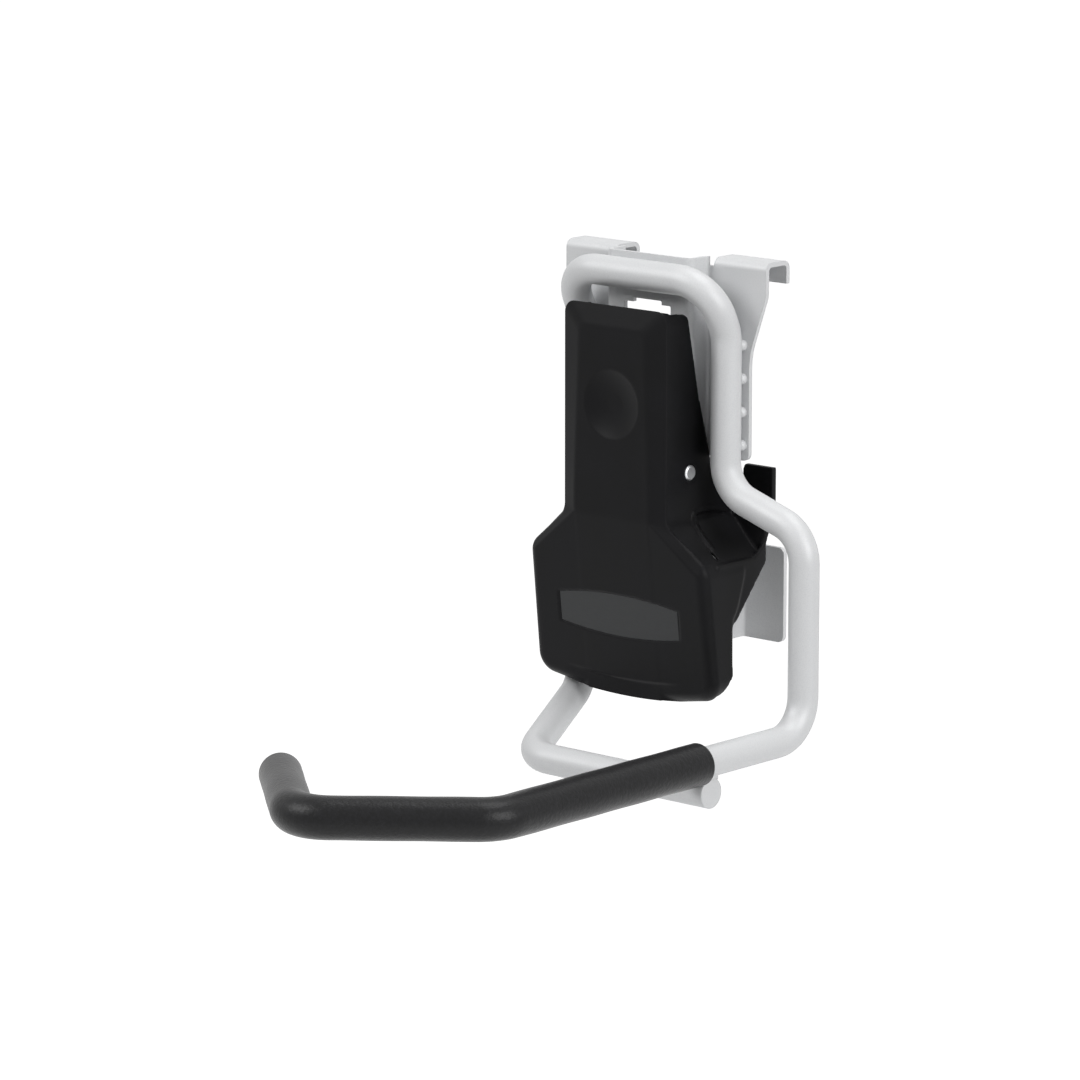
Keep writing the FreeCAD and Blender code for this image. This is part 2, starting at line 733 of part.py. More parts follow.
def make_face():
    """Face plate: bevelled head, leaning foot, thumb dimple with a boss behind it, recess for the inlay."""
    depth = "parting_reach+face_rise+cut_margin"
    outline = prism("face_outline", "XZ", "0", depth, front_outline("0", "face_top_drop"))
    front = "parting_reach+face_rise"
    side = [
        ("-parting_reach", "0"),
        ("-parting_reach", f"-({kink_drop})"),
        (leaning("parting_reach", far_drop), f"-({far_drop})"),
        (leaning(front, far_drop), f"-({far_drop})"),
        (f"-({front})", f"-({kink_drop})"),
        (f"-({front})", "-face_top_drop-bevel_width"),
        ("-parting_reach-face_lip", "-face_top_drop"),
        ("-parting_reach-face_lip", "0"),
    ]
    profile = prism("face_profile", "YZ", "-skirt_half-cut_margin", "2*(skirt_half+cut_margin)", side)
    plate = combine("Part::MultiCommon", "face_plate", [outline, profile])

    bevel = [
        ("face_half-bevel_width", f"-({front})"),
        ("face_half-bevel_width", f"-({front})-face_rise"),
        ("face_half+bevel_width", f"-({front})-face_rise"),
        ("face_half+bevel_width", "-parting_reach+face_rise-2*face_lip"),
    ]
    head_bevel = prism("head_bevel", "XY", f"-({kink_drop})", kink_drop, bevel)
    flare_run = "flare_half-flare_bevel-(face_half-bevel_width)"
    flare_fall = f"{flare_foot_drop}+flare_bevel_fall-({kink_drop})"
    flare_bevel = slanted_prism("flare_bevel", f"-({kink_drop})", bevel,
                                (flare_run, f"face_lean*({flare_fall})", f"-({flare_fall})"))
    bevels = [head_bevel, flare_bevel, mirror("left_head_bevel", head_bevel),
              mirror("left_flare_bevel", flare_bevel)]
    bevelled = cut("bevelled_face", plate, combine("Part::MultiFuse", "face_bevels", bevels))

    boss = doc.addObject("Part::Cylinder", "dimple_boss")
    boss.Placement.Rotation = FreeCAD.Rotation(FreeCAD.Vector(1, 0, 0), 90)
    bind(boss, "Radius", "dimple_radius+boss_wall-boss_gap")
    bind(boss, "Height", "lever_front_wall+face_rise/2")
    bind(boss, "Placement.Base.y", "-parting_reach+lever_front_wall")
    bind(boss, "Placement.Base.z", "-dimple_drop")
    dish = doc.addObject("Part::Sphere", "dimple_dish")
    dish_radius = "(dimple_radius^2+dimple_depth^2)/(2*dimple_depth)"
    bind(dish, "Radius", dish_radius)
    bind(dish, "Placement.Base.y", f"-({front})+dimple_depth-({dish_radius})")
    bind(dish, "Placement.Base.z", "-dimple_drop")
    recess = badge_solid("badge_recess_tool", "badge_gap", "badge_thickness+badge_recess", "0", "face_rise")
    face = cut("face_cover", combine("Part::MultiFuse", "face_with_boss", [bevelled, boss]),
               combine("Part::MultiFuse", "face_cuts", [dish, recess]))
    face.Label = "face_cover"
    return face


def badge_solid(name, margin, depth, sunk, ahead):
    """Inlay outline, crowned above and below, from a depth under the leaning face to a height ahead of it."""
    lean = math.degrees(math.atan(value("face_lean")))
    right = [
        (f"badge_half+({margin})", f"badge_end_half+({margin})"),
        (f"badge_half+({margin})", f"-badge_end_half-({margin})"),
    ]
    top = ("0", f"badge_peak_half+({margin})", "badge_crown")
    bottom = ("0", f"-badge_peak_half-({margin})", "badge_crown")
    sketch = doc.addObject("Sketcher::SketchObject", f"{name}_outline")
    turn = FreeCAD.Rotation(FreeCAD.Vector(1, 0, 0), 90 + lean)
    sketch.Placement = FreeCAD.Placement(FreeCAD.Vector(), turn)
    back = f"(({depth})-({sunk}))"
    bind(sketch, "Placement.Base.y",
         f"{leaning('parting_reach+face_rise', 'badge_drop')}+{back}/(1+face_lean^2)^0.5")
    bind(sketch, "Placement.Base.z", f"-badge_drop+face_lean*{back}/(1+face_lean^2)^0.5")
    draw_outline(sketch, right + [bottom] + mirrored_corners(right) + [top])
    solid = doc.addObject("Part::Extrusion", name)
    solid.Base = sketch
    solid.DirMode = "Normal"
    solid.Solid = True
    bind(solid, "LengthFwd", f"({depth})+({ahead})")
    doc.recompute()
    return solid


def make_badge():
    """Bare inlay plate, its face a little below the face around it."""
    badge = badge_solid("badge_plate", "0", "badge_thickness", "-badge_recess", "0")
    badge.Label = "badge_plate"
    return badge


def make_lever():
    """Moulded lever: shell behind the face, troughs and ears round the rod legs, claws under the rail."""
    inset = "lever_inset"
    wall = "lever_inset+lever_wall"
    depth = "parting_reach+2*cut_margin"
    outline = prism("lever_outline", "XZ", "cut_margin", depth, front_outline(inset, "face_top_drop"))
    top = "face_top_drop+lever_inset"
    side = [
        ("-parting_reach", f"-({top})"),
        ("-parting_reach", f"-({kink_drop})"),
        (leaning("parting_reach", far_drop), f"-({far_drop})"),
        ("-skirt_rear-skirt_chamfer", f"-({far_drop})"),
        ("-skirt_rear-skirt_chamfer", f"-{skirt_corner_drop}"),
        ("-skirt_rear", "-skirt_chamfer_drop"),
        ("-skirt_rear", "-skirt_rear_top_drop", "skirt_rear_round"),
        ("-lever_rear_foot", "-lever_rear_foot_drop-lever_rear_foot_height", "lever_rear_foot_round"),
        ("-lever_rear_foot", "-lever_rear_foot_drop", "lever_rear_bow"),
        ("-lever_rear_top", f"-({top})-lever_top_slope", "lever_rear_corner"),
    ]
    profile = prism("lever_profile", "YZ", "-skirt_half-cut_margin", "2*(skirt_half+cut_margin)", side)
    block = combine("Part::MultiCommon", "lever_block", [outline, profile])

    hollow_outline = prism("hollow_outline", "XZ", "cut_margin", depth, front_outline(wall, "face_top_drop"))
    inner_reach = "parting_reach-lever_front_wall"
    hollow_side = [
        (f"-({inner_reach})", f"-({top})-lever_wall"),
        (f"-({inner_reach})", f"-({kink_drop})"),
        (leaning(inner_reach, far_drop), f"-({far_drop})"),
        ("cut_margin", f"-({far_drop})"),
        ("cut_margin", f"-({top})-lever_wall-lever_top_slope"),
    ]
    hollow_profile = prism("hollow_profile", "YZ", "-skirt_half", "2*skirt_half", hollow_side)
    hollow = combine("Part::MultiCommon", "lever_hollow", [hollow_outline, hollow_profile])
    ribs = []
    for side_sign in (-1, 1):
        ribs.append(box("stop_rib", (f"{side_sign}*stop_rib_offset-rib_half", "-parting_reach",
                                     "-stop_rib_top_drop-stop_rib_height"),
                        ("2*rib_half", "parting_reach-web_front-stop_gap", "stop_rib_height")))
        ribs.append(box("press_rib", (f"{side_sign}*press_rib_offset-rib_half", "-parting_reach",
                                      "-press_rib_top_drop-press_rib_height"),
                        ("2*rib_half", "parting_reach-web_front-press_gap", "press_rib_height")))
    room = cut("lever_room", hollow, combine("Part::MultiFuse", "lever_ribs", ribs))
    roof_foot = f"-({top})-lever_wall-2*lever_top_slope"
    over_web = box("roof_notch", (f"-face_half+{wall}", "-roof_reach", roof_foot),
                   (f"2*(face_half-({wall}))", "roof_reach+cut_margin", "face_top_drop"))
    shell = cut("lever_shell", block, room)

    # Opening of the shoulder round each rod leg
    ear_inner = "leg_half+rod_diameter/2+ear_gap"
    trough_height = "flare_height+cut_margin+trough_top_rise"
    trough = prism("trough", "XY", f"-{flare_foot_drop}-cut_margin", trough_height, [
        ("face_half-lever_inset", "-trough_inner_reach", "trough_round"),
        (ear_inner, "-trough_outer_reach", "trough_round"),
        (ear_inner, "2*cut_margin"),
        ("face_half-lever_inset", "2*cut_margin"),
    ])
    dimple_hole = doc.addObject("Part::Cylinder", "dimple_hole")
    dimple_hole.Placement.Rotation = FreeCAD.Rotation(FreeCAD.Vector(1, 0, 0), 90)
    bind(dimple_hole, "Radius", "dimple_radius+boss_wall")
    bind(dimple_hole, "Height", "lever_front_wall+2*cut_overlap")
    bind(dimple_hole, "Placement.Base.y", "-parting_reach+lever_front_wall+cut_overlap")
    bind(dimple_hole, "Placement.Base.z", "-dimple_drop")
    pin_hole = cross_cylinder("lever_pin_hole", "pin_diameter/2+pin_press_clearance", "face_half+cut_margin",
                              "pin_reach", "pin_drop")
    openings = combine("Part::MultiFuse", "lever_openings",
                       [trough, mirror("left_trough", trough), over_web, dimple_hole, pin_hole])
    opened = cut("opened_lever", shell, openings)

    # Ears stand outside the rod legs, arms inside them, and a rear wall joins both to the claws
    claw_foot = "claw_top_drop+claw_height"
    claw_rear = "claw_gap+claw_thickness"
    ear_front = "-trough_outer_reach-ear_lap"
    ear_foot = f"-{flare_foot_drop}-ear_height"
    ear_outer = f"{ear_inner}+ear_thickness"
    rear_corner = ("ear_rear", f"-({claw_foot})-ear_rear_fall", "ear_round")
    inner_corner = ("ear_rear-rear_wall", f"-({claw_foot})-ear_rear_fall", "ear_round")
    ear = prism("ear", "YZ", ear_inner, "ear_thickness", [
        (ear_front, ear_foot),
        ("-skirt_rear", ear_foot, "ear_foot_round"),
        ("ear_rear", f"-({claw_foot})-ear_rear_fall-ear_rear_height", "ear_round"),
        rear_corner,
        (claw_rear, f"-({claw_foot})", "ear_round"),
        (claw_rear, "-claw_top_drop"),
        ("claw_gap", "-claw_top_drop"),
        ("claw_gap", f"-({claw_foot})+ear_web", "ear_round"),
        inner_corner,
        ("ear_rear-rear_wall-ear_rise", f"-{flare_foot_drop}+ear_top_height", "ear_round"),
        (ear_front, f"-{flare_foot_drop}+ear_top_height"),
    ])
    shoulder_side = prism("shoulder_side", "YZ", ear_inner, "skirt_half-leg_half", [
        (ear_front, ear_foot),
        ("-skirt_rear", ear_foot, "ear_foot_round"),
        ("-shoulder_rear", f"-{flare_foot_drop}-skirt_chamfer", "shoulder_round"),
        ("-shoulder_rear", "-flare_top_drop"),
        (ear_front, "-flare_top_drop"),
    ])
    shoulder = combine("Part::MultiCommon", "shoulder", [outline, shoulder_side])
    arm_inner = "face_half-lever_inset-lever_wall"
    arm = prism("arm", "YZ", arm_inner, "lever_wall", [
        ("-lever_rear_foot-arm_lap", "-arm_top_drop"),
        (claw_rear, "-arm_top_drop"),
        (claw_rear, f"-({claw_foot})", "ear_round"),
        ("ear_rear", f"-({claw_foot})-ear_rear_fall+arm_foot_rise"),
        ("-lever_rear_foot-arm_lap", f"-({claw_foot})-ear_rear_fall+2*arm_foot_rise"),
    ])
    claw = prism("claw", "XZ", claw_rear, "claw_thickness", [
        (ear_outer, f"-({claw_foot})+ear_web"),
        (ear_outer, "-claw_top_drop", "claw_corner"),
        ("claw_half_inner", "-claw_top_drop", "claw_corner"),
        ("claw_half_inner-claw_corner", "-arm_top_drop", "claw_corner"),
        (arm_inner, "-arm_top_drop"),
        (arm_inner, f"-({claw_foot})+ear_web"),
    ])
    rear = prism("rear", "YZ", arm_inner, f"{ear_inner}-({arm_inner})", [
        ("claw_gap", f"-({claw_foot})+2*ear_web"),
        ("claw_gap", f"-({claw_foot})+ear_web", "ear_round"),
        inner_corner,
        ("ear_rear-rear_wall", f"-{flare_foot_drop}+ear_top_height"),
        ("ear_rear", f"-{flare_foot_drop}+ear_top_height"),
        rear_corner,
        (claw_rear, f"-({claw_foot})", "ear_round"),
        (claw_rear, f"-({claw_foot})+2*ear_web"),
    ])
    right_limbs = [ear, shoulder, arm, claw, rear]
    limbs = right_limbs + [mirror(f"left_{limb.Name}", limb) for limb in right_limbs]

    # Roof of the right shoulder: the flare's slope carried back to the rear wall, below the rod's jog
    slope = "flare_height/(flare_half-face_half)"
    roof_top = f"-flare_top_drop-lever_inset*{flare_turn}"
    outward = f"({ear_outer}-(face_half-lever_inset))*{slope}"
    inward = f"lever_wall*{slope}/2"
    limbs.append(prism("roof", "XZ", "ear_rear", "ear_rear+roof_front", [
        ("face_half-lever_inset-lever_wall/2", f"{roof_top}+{inward}"),
        (ear_outer, f"{roof_top}-{outward}"),
        (ear_outer, f"{roof_top}-{outward}-roof_wall"),
        ("face_half-lever_inset-lever_wall/2", f"{roof_top}+{inward}-roof_wall"),
    ]))
    lever = combine("Part::MultiFuse", "locking_lever", [opened] + limbs)
    lever.Label = "locking_lever"
    return lever


# Pin and spring

def make_pin():
    """Straight pin through the lever's side walls and the bracket's lugs, chamfered at both ends."""
    body = new_body("pivot_pin")
    half = "face_half-lever_inset+pin_proud"
    section = [
        (f"-({half})", "0"),
        (half, "0"),
        (half, "pin_diameter/2-pin_chamfer"),
        (f"{half}-pin_chamfer", "pin_diameter/2"),
        (f"-({half})+pin_chamfer", "pin_diameter/2"),
        (f"-({half})", "pin_diameter/2-pin_chamfer"),
    ]
    sketch = body_sketch(body, "pin_section", "XY", "0")
    draw_outline(sketch, section)
    turned = body.newObject("PartDesign::Revolution", "pin_turned")
    turned.Profile = sketch
    turned.ReferenceAxis = (sketch, ["H_Axis"])
    turned.Angle = 360
    bind(body, "Placement.Base.y", "-pin_reach")
    bind(body, "Placement.Base.z", "-pin_drop")
    doc.recompute()
    return body


def make_spring():
    """Torsion spring on the pin between the lugs: one leg on the web, one on the lever's front wall."""
    wire = value("spring_wire/2")
    coil = value("pin_diameter/2+spring_clearance+spring_wire/2")
    fixed = math.radians(value("fixed_leg_tilt"))
    moving = math.radians(value("moving_leg_tilt"))
    pitch = value("spring_pitch")
    sweep = value("spring_turns") + (math.pi + moving - fixed) / (2 * math.pi)
    length = pitch * sweep
    helix = Part.makeHelix(pitch, length, coil)
    helix.rotate(FreeCAD.Vector(), FreeCAD.Vector(0, 0, 1), math.degrees(fixed))
    helix.rotate(FreeCAD.Vector(), FreeCAD.Vector(1, 1, 1), 120)
    axis = vector("0", "-pin_reach", "-pin_drop")
    helix.translate(axis + FreeCAD.Vector(-length / 2, 0, 0))
    first = helix.Edges[0]
    start = first.valueAt(first.FirstParameter)
    heading = first.tangentAt(first.FirstParameter)
    ring = Part.Wire(Part.Circle(start, heading, wire).toShape())
    coiled = Part.Wire(helix.Edges).makePipeShell([ring], True, True)

    fixed_from = axis + FreeCAD.Vector(-length / 2, coil * math.cos(fixed), coil * math.sin(fixed))
    fixed_heading = FreeCAD.Vector(0, -math.sin(fixed), math.cos(fixed))
    moving_from = axis + FreeCAD.Vector(length / 2, -coil * math.cos(moving), -coil * math.sin(moving))
    moving_heading = FreeCAD.Vector(0, -math.sin(moving), math.cos(moving))
    rest_reach = value("parting_reach-lever_front_wall-moving_leg_gap-spring_wire/2")
    moving_length = (rest_reach + moving_from.y) / math.sin(moving)
    legs = [
        Part.makeCylinder(wire, value("fixed_leg_length"), fixed_from, fixed_heading),
        Part.makeCylinder(wire, moving_length, moving_from, moving_heading),
        Part.makeSphere(wire, fixed_from),
        Part.makeSphere(wire, moving_from),
    ]
    return shaped("torsion_spring", coiled.fuse(legs))


nodes = [
    make_bracket(),
    make_rod(),
    make_sleeve(),
    make_brace_weld(),
    make_tacks(),
    make_face(),
    make_badge(),
    make_lever(),
    make_pin(),
    make_spring(),
]

doc.recompute()
for item in doc.Objects:
    if "Invalid" in item.State or "Error" in item.State:
        raise RuntimeError(f"{item.Name} failed: {item.State}")
for node in nodes:
    if node.Shape.isNull() or not node.Shape.isValid():
        raise RuntimeError(f"{node.Label} has no valid shape")

os.makedirs("parts", exist_ok=True)
for node in nodes:
    node.Shape.exportStep(f"parts/{node.Label}.step")
    extent = node.Shape.BoundBox
    print(f"{node.Label}: {len(node.Shape.Solids)} solid, {node.Shape.Volume:.0f} mm3, "
          f"{extent.XLength:.1f} x {extent.YLength:.1f} x {extent.ZLength:.1f}")
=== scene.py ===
import math

import bpy
import numpy as np
from mathutils import Matrix


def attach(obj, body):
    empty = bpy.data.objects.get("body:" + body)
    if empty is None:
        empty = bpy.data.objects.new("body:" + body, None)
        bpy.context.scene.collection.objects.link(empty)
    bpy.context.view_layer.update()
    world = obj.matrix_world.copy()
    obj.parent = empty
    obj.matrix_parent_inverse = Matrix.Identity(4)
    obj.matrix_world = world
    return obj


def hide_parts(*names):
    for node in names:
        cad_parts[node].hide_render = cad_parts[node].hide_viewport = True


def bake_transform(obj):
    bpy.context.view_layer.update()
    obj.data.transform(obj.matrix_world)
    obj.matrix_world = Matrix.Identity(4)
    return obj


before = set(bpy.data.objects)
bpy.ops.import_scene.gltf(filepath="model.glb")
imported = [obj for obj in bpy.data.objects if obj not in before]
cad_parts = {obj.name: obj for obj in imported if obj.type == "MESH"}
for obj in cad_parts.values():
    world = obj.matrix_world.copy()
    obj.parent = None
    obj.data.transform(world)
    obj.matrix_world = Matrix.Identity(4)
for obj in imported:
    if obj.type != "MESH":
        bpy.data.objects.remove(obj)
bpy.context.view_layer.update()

bl_info = {
    "name": "Bicycle storage hook",
    "version": (1, 0, 0),
    "blender": (4, 5, 0),
    "location": "View3D > Sidebar > Hook",
    "description": "Dresses the steel hook, its soft sleeve and its moulded locking lever",
    "category": "Add Mesh",
}

MM = 0.001


# Sizes and colours that a user would change

def length(name, description, millimetres):
    """A distance property whose default is given in millimetres."""
    return bpy.props.FloatProperty(
        name=name, description=description, default=millimetres * MM, unit="LENGTH", subtype="DISTANCE",
        precision=5)


def colour(name, description, hex_code):
    """An sRGB colour property whose default is given as a hex code."""
    parts = [int(hex_code[i:i + 2], 16) / 255 for i in (1, 3, 5)]
    return bpy.props.FloatVectorProperty(
        name=name, description=description, default=parts, subtype="COLOR_GAMMA", size=3, min=0, max=1)


class HookRodSizes(bpy.types.PropertyGroup):
    """Where the bent rod runs. Drops are measured down from the rail hooks' seat, reaches to the user."""
    diameter: length("Diameter", "Round bar the hook is bent from", 12.7)
    bend: length("Bend radius", "Centre line radius of every bend", 16.5)
    leg_half: length("Leg offset", "Each leg's distance from the middle of the bracket", 38.7)
    leg_reach: length("Leg reach", "Centre line of the legs in front of the rail face", 8.35)
    bar_reach: length("Top bar reach", "Centre line of the top bar in front of the rail face", 19.15)
    bar_drop: length("Top bar drop", "Top bar below the seat", 5.9)
    shoulder_drop: length("Shoulder drop", "Where the legs turn forward to the top bar", 27.8)
    jog_top_drop: length("Jog top drop", "Where the right leg starts to step outwards", 92.2)
    jog_foot_drop: length("Jog foot drop", "Where the right leg runs straight down again", 106.1)
    arm_offset: length("Arm offset", "Arm's distance from the middle of the bracket", 80.6)
    arm_drop: length("Arm drop", "Arm below the seat", 189.3)
    arm_reach: length("Arm reach", "First bend of the arm in front of the rail face", 193.6)
    nose_offset: length("Nose offset", "Second bend of the arm, sideways", 19.9)
    nose_reach: length("Nose reach", "Second bend of the arm in front of the rail face", 243.1)
    tip_offset: length("Tip offset", "End of the rod on the other side of the middle", 33.2)
    tip_reach: length("Tip reach", "End of the rod in front of the rail face", 196.5)
    leg_foot_drop: length("Left leg foot drop", "Where the left leg turns towards the brace", 184.5)
    brace_corner: length("Brace corner offset", "Brace's bend on the left of the middle", 15.3)
    brace_reach: length("Brace reach", "Brace in front of the rail face", 68.7)
    brace_overrun: length("Brace overrun", "Brace past the middle of the arm", 2.3)
    end_chamfer: length("End chamfer", "Sheared and deburred end of the bar", 0.45)


class HookSleeveSizes(bpy.types.PropertyGroup):
    """The soft sleeve on the arm."""
    start_reach: length("Start", "Cut end of the sleeve in front of the rail face", 74.0)
    wall: length("Wall", "Thickness of the sleeve, its fit on the rod included", 2.4)
    end_cap: length("End cap", "Closed end past the rod", 2.45)
    end_round: length("End rounding", "Rounding of the closed end", 3.4)
    wrinkle: length("Wrinkle", "Height of the wrinkles on the inside of each bend", 0.16)


class HookFaceSizes(bpy.types.PropertyGroup):
    """The face of the lever, seen from the front."""
    half: length("Head half width", "Half the width of the face's narrow head", 27.5)
    top_drop: length("Top drop", "Top edge below the seat", 17.4)
    corner: length("Head corner", "Radius of the two top corners", 5.0)
    flare_top_drop: length("Flare top drop", "Where the head starts to widen", 105.5)
    flare_foot_drop: length("Flare foot drop", "Where the foot has its full width", 122.0)
    flare_half: length("Flare half width", "Half the width at the flare's foot", 47.9)
    flare_inner_round: length("Inner flare round", "Radius where the head meets the flare", 6.5)
    flare_outer_round: length("Outer flare round", "Radius where the flare meets the foot", 8.0)
    skirt_half: length("Foot half width", "Half the width at the lower corners", 48.8)
    skirt_corner_drop: length("Lower corner drop", "Lower corners below the seat, before rounding", 177.4)
    skirt_corner: length("Lower corner", "Radius of the lower corners", 9.0)
    skirt_peak_drop: length("Foot drop", "Meeting point of the lower edge's two slopes", 185.2)
    skirt_crown: length("Foot crown", "Radius of the crowned lower edge", 222.0)
    parting_reach: length("Parting reach", "Back of the face in front of the rail face", 32.6)
    rise: length("Face rise", "Thickness of the face", 2.9)
    lip: length("Lip", "Plain edge behind the bevel", 0.4)
    kink_rise: length("Kink rise", "The face starts to lean this far above the flare", 0.5)
    bevel: length("Side bevel", "Width of the head's side bevels at the top", 10.0)
    bevel_foot: length("Side bevel foot", "Width of the head's side bevels where the flare starts", 7.4)
    top_bevel: length("Top bevel", "Width of the head's top bevel", 8.7)
    flare_bevel: length("Flare bevel", "Width of the bevel along the flare", 4.2)
    edge_round: length("Foot edge round", "Rounding of the front edge round the foot", 4.6)
    foot_wrap: length("Foot wrap", "How far the foot's rim reaches back over the lever behind it", 1.9)
    dimple_drop: length("Dimple drop", "Middle of the thumb dimple below the seat", 58.0)
    dimple_radius: length("Dimple radius", "Radius of the thumb dimple's rim", 14.6)
    dimple_depth: length("Dimple depth", "Depth of the thumb dimple", 3.0)
    badge_half: length("Inlay half width", "Half the width of the inlay", 32.2)
    badge_end_half: length("Inlay end half height", "Half the inlay's height at its ends", 6.2)
    badge_middle_half: length("Inlay middle half height", "Half the inlay's height in the middle", 9.0)
    badge_drop: length("Inlay drop", "Middle of the inlay below the seat", 147.3)
    badge_recess: length("Inlay recess", "Inlay's face below the face around it", 0.4)
    badge_thickness: length("Inlay thickness", "Thickness of the inlay", 1.0)
    lean: bpy.props.FloatProperty(
        name="Foot lean", description="How far the foot leans back for each unit of drop", default=0.12)


class HookColours(bpy.types.PropertyGroup):
    """Colours of the finishes."""
    silver: colour("Silver coat", "Powder coat of the bracket and the rod", "#D8D9DA")
    silver_flake: colour("Silver flake", "Darker flakes in the powder coat", "#CFD0D2")
    plastic: colour("Lever plastic", "Moulded face and lever", "#121213")
    plastic_worn: colour("Lever plastic, paler", "Paler cloud in the moulded plastic", "#151517")
    inlay: colour("Inlay", "Film of the inlay", "#363738")
    sleeve: colour("Sleeve", "Soft sleeve of the arm", "#101011")
    sleeve_pale: colour("Sleeve, paler", "Paler skin of the sleeve", "#18181A")
    zinc: colour("Zinc", "Plated pivot pin", "#DADBDD")
    wire: colour("Spring wire", "Drawn spring wire", "#8E8F92")
    floor: colour("Floor", "Studio floor", "#F2F2F2")


# Arithmetic on arrays of points

def unit(vector):
    return vector / np.linalg.norm(vector)


def turned(vector, axis, angles):
    """The vector turned about a unit axis by each angle: its cosine part, its sine part across the axis,
    and what lies on the axis."""
    cosine = np.cos(angles)[:, None]
    sine = np.sin(angles)[:, None]
    return vector * cosine + np.cross(axis, vector) * sine + axis * np.dot(axis, vector) * (1 - cosine)


def along_bends(corners, bend, step):
    """Places, headings and sides at even steps along straight runs joined by tangent arcs.

    Each corner is cut by an arc of the bend radius that starts and ends bend * tan(half the turn) from it,
    and the side direction turns with the heading, so that a ring carried along never twists."""
    corners = np.asarray(corners, float)
    here = corners[0]
    heading = unit(corners[1] - corners[0])
    side = unit(np.cross(heading, (0.3, 0.5, 0.81)))
    places, headings, sides = [], [], []
    for corner, following in zip(corners[1:-1], corners[2:]):
        ahead = unit(following - corner)
        axis = unit(np.cross(heading, ahead))
        turn = math.acos(np.clip(heading @ ahead, -1, 1))
        setback = bend * math.tan(turn / 2)
        start = corner - heading * setback
        stations = max(2, math.ceil(np.linalg.norm(start - here) / step))
        run = np.linspace(0, 1, stations, endpoint=False)[:, None]
        places.append(here + (start - here) * run)
        headings.append(np.repeat(heading[None], len(run), 0))
        sides.append(np.repeat(side[None], len(run), 0))
        angles = np.linspace(0, turn, max(6, math.ceil(turn * bend / step)), endpoint=False)
        inward = np.cross(axis, heading)
        places.append(start + inward * bend - turned(inward * bend, axis, angles))
        headings.append(turned(heading, axis, angles))
        sides.append(turned(side, axis, angles))
        here = corner + ahead * setback
        side = turned(side, axis, np.array([turn]))[0]
        heading = ahead
    run = np.linspace(0, 1, max(2, math.ceil(np.linalg.norm(corners[-1] - here) / step)))[:, None]
    places.append(here + (corners[-1] - here) * run)
    headings.append(np.repeat(heading[None], len(run), 0))
    sides.append(np.repeat(side[None], len(run), 0))
    return np.concatenate(places), np.concatenate(headings), np.concatenate(sides)


def grid_quads(rows, columns, wrap):
    """Corner numbers of the quads of a grid whose columns may close on themselves."""
    index = np.arange(rows * columns).reshape(rows, columns)
    if wrap:
        index = np.concatenate([index, index[:, :1]], 1)
    quads = np.stack([index[:-1, :-1], index[:-1, 1:], index[1:, 1:], index[1:, :-1]], -1)
    return quads.reshape(-1, 4)


def smooth_least(first, second, blend):
    """The smaller of two heights, with a round hollow of the blend's size where they meet."""
    mix = np.clip(0.5 + 0.5 * (second - first) / blend, 0, 1)
    return second * (1 - mix) + first * mix - blend * mix * (1 - mix)


def smooth_most(first, second, blend):
    return -smooth_least(-first, -second, blend)


def eased(value, low, high):
    """0 below low, 1 above high, and a smooth cubic between."""
    share = np.clip((value - low) / (high - low), 0, 1)
    return share * share * (3 - 2 * share)


def rounded_outline(corners, step):
    """Points along an open outline of (across, up, radius) corners, each turned by a tangent arc."""
    spots = np.array([(x, z) for x, z, _ in corners], float)
    points = [spots[:1]]
    here = spots[0]
    for i in range(1, len(corners) - 1):
        radius = corners[i][2]
        back = unit(spots[i - 1] - spots[i])
        ahead = unit(spots[i + 1] - spots[i])
        half = math.acos(np.clip(back @ ahead, -1, 1)) / 2
        setback = radius / math.tan(half)
        start = spots[i] + back * setback
        centre = spots[i] + unit(back + ahead) * radius / math.sin(half)
        run = np.linspace(0, 1, max(2, math.ceil(np.linalg.norm(start - here) / step)) + 1)[1:, None]
        points.append(here + (start - here) * run)
        turn = math.pi - 2 * half
        sign = math.copysign(1, back[0] * ahead[1] - back[1] * ahead[0]) * -1
        angles = sign * np.linspace(0, turn, max(8, math.ceil(turn * radius / step)) + 1)[1:]
        arm = start - centre
        points.append(centre + np.stack([
            arm[0] * np.cos(angles) - arm[1] * np.sin(angles),
            arm[0] * np.sin(angles) + arm[1] * np.cos(angles)], -1))
        here = spots[i] + ahead * setback
    run = np.linspace(0, 1, max(2, math.ceil(np.linalg.norm(spots[-1] - here) / step)) + 1)[1:, None]
    points.append(here + (spots[-1] - here) * run)
    return np.concatenate(points)


def distance_to_outline(across, up, outline):
    """Distance from each point to the nearest stretch of the outline."""
    least = np.full(across.shape, np.inf)
    for start, end in zip(outline[:-1], outline[1:]):
        run = end - start
        share = np.clip(((across - start[0]) * run[0] + (up - start[1]) * run[1]) / (run @ run), 0, 1)
        nearest = start + share[..., None] * run
        least = np.minimum(least, np.hypot(across - nearest[..., 0], up - nearest[..., 1]))
    return least


# Meshes

def new_piece(name, points, faces, material, sharp_degrees=None):
    """A mesh object at the origin with smooth faces, and sharp edges above an angle if one is given."""
    mesh = bpy.data.meshes.new(name)
    mesh.from_pydata(points.tolist(), [], [list(face) for face in faces])
    mesh.validate()
    mesh.shade_smooth()
    if sharp_degrees:
        mesh.set_sharp_from_angle(angle=math.radians(sharp_degrees))
    mesh.materials.append(material)
    piece = bpy.data.objects.new(name, mesh)
    bpy.context.scene.collection.objects.link(piece)
    return piece


def ring_directions(headings, sides, count):
    """Angles round a path, and each station's direction at each of them."""
    angles = np.linspace(0, 2 * math.pi, count, endpoint=False)
    cosine, sine = (part[None, :, None] for part in (np.cos(angles), np.sin(angles)))
    return angles, sides[:, None] * cosine + np.cross(headings, sides)[:, None] * sine


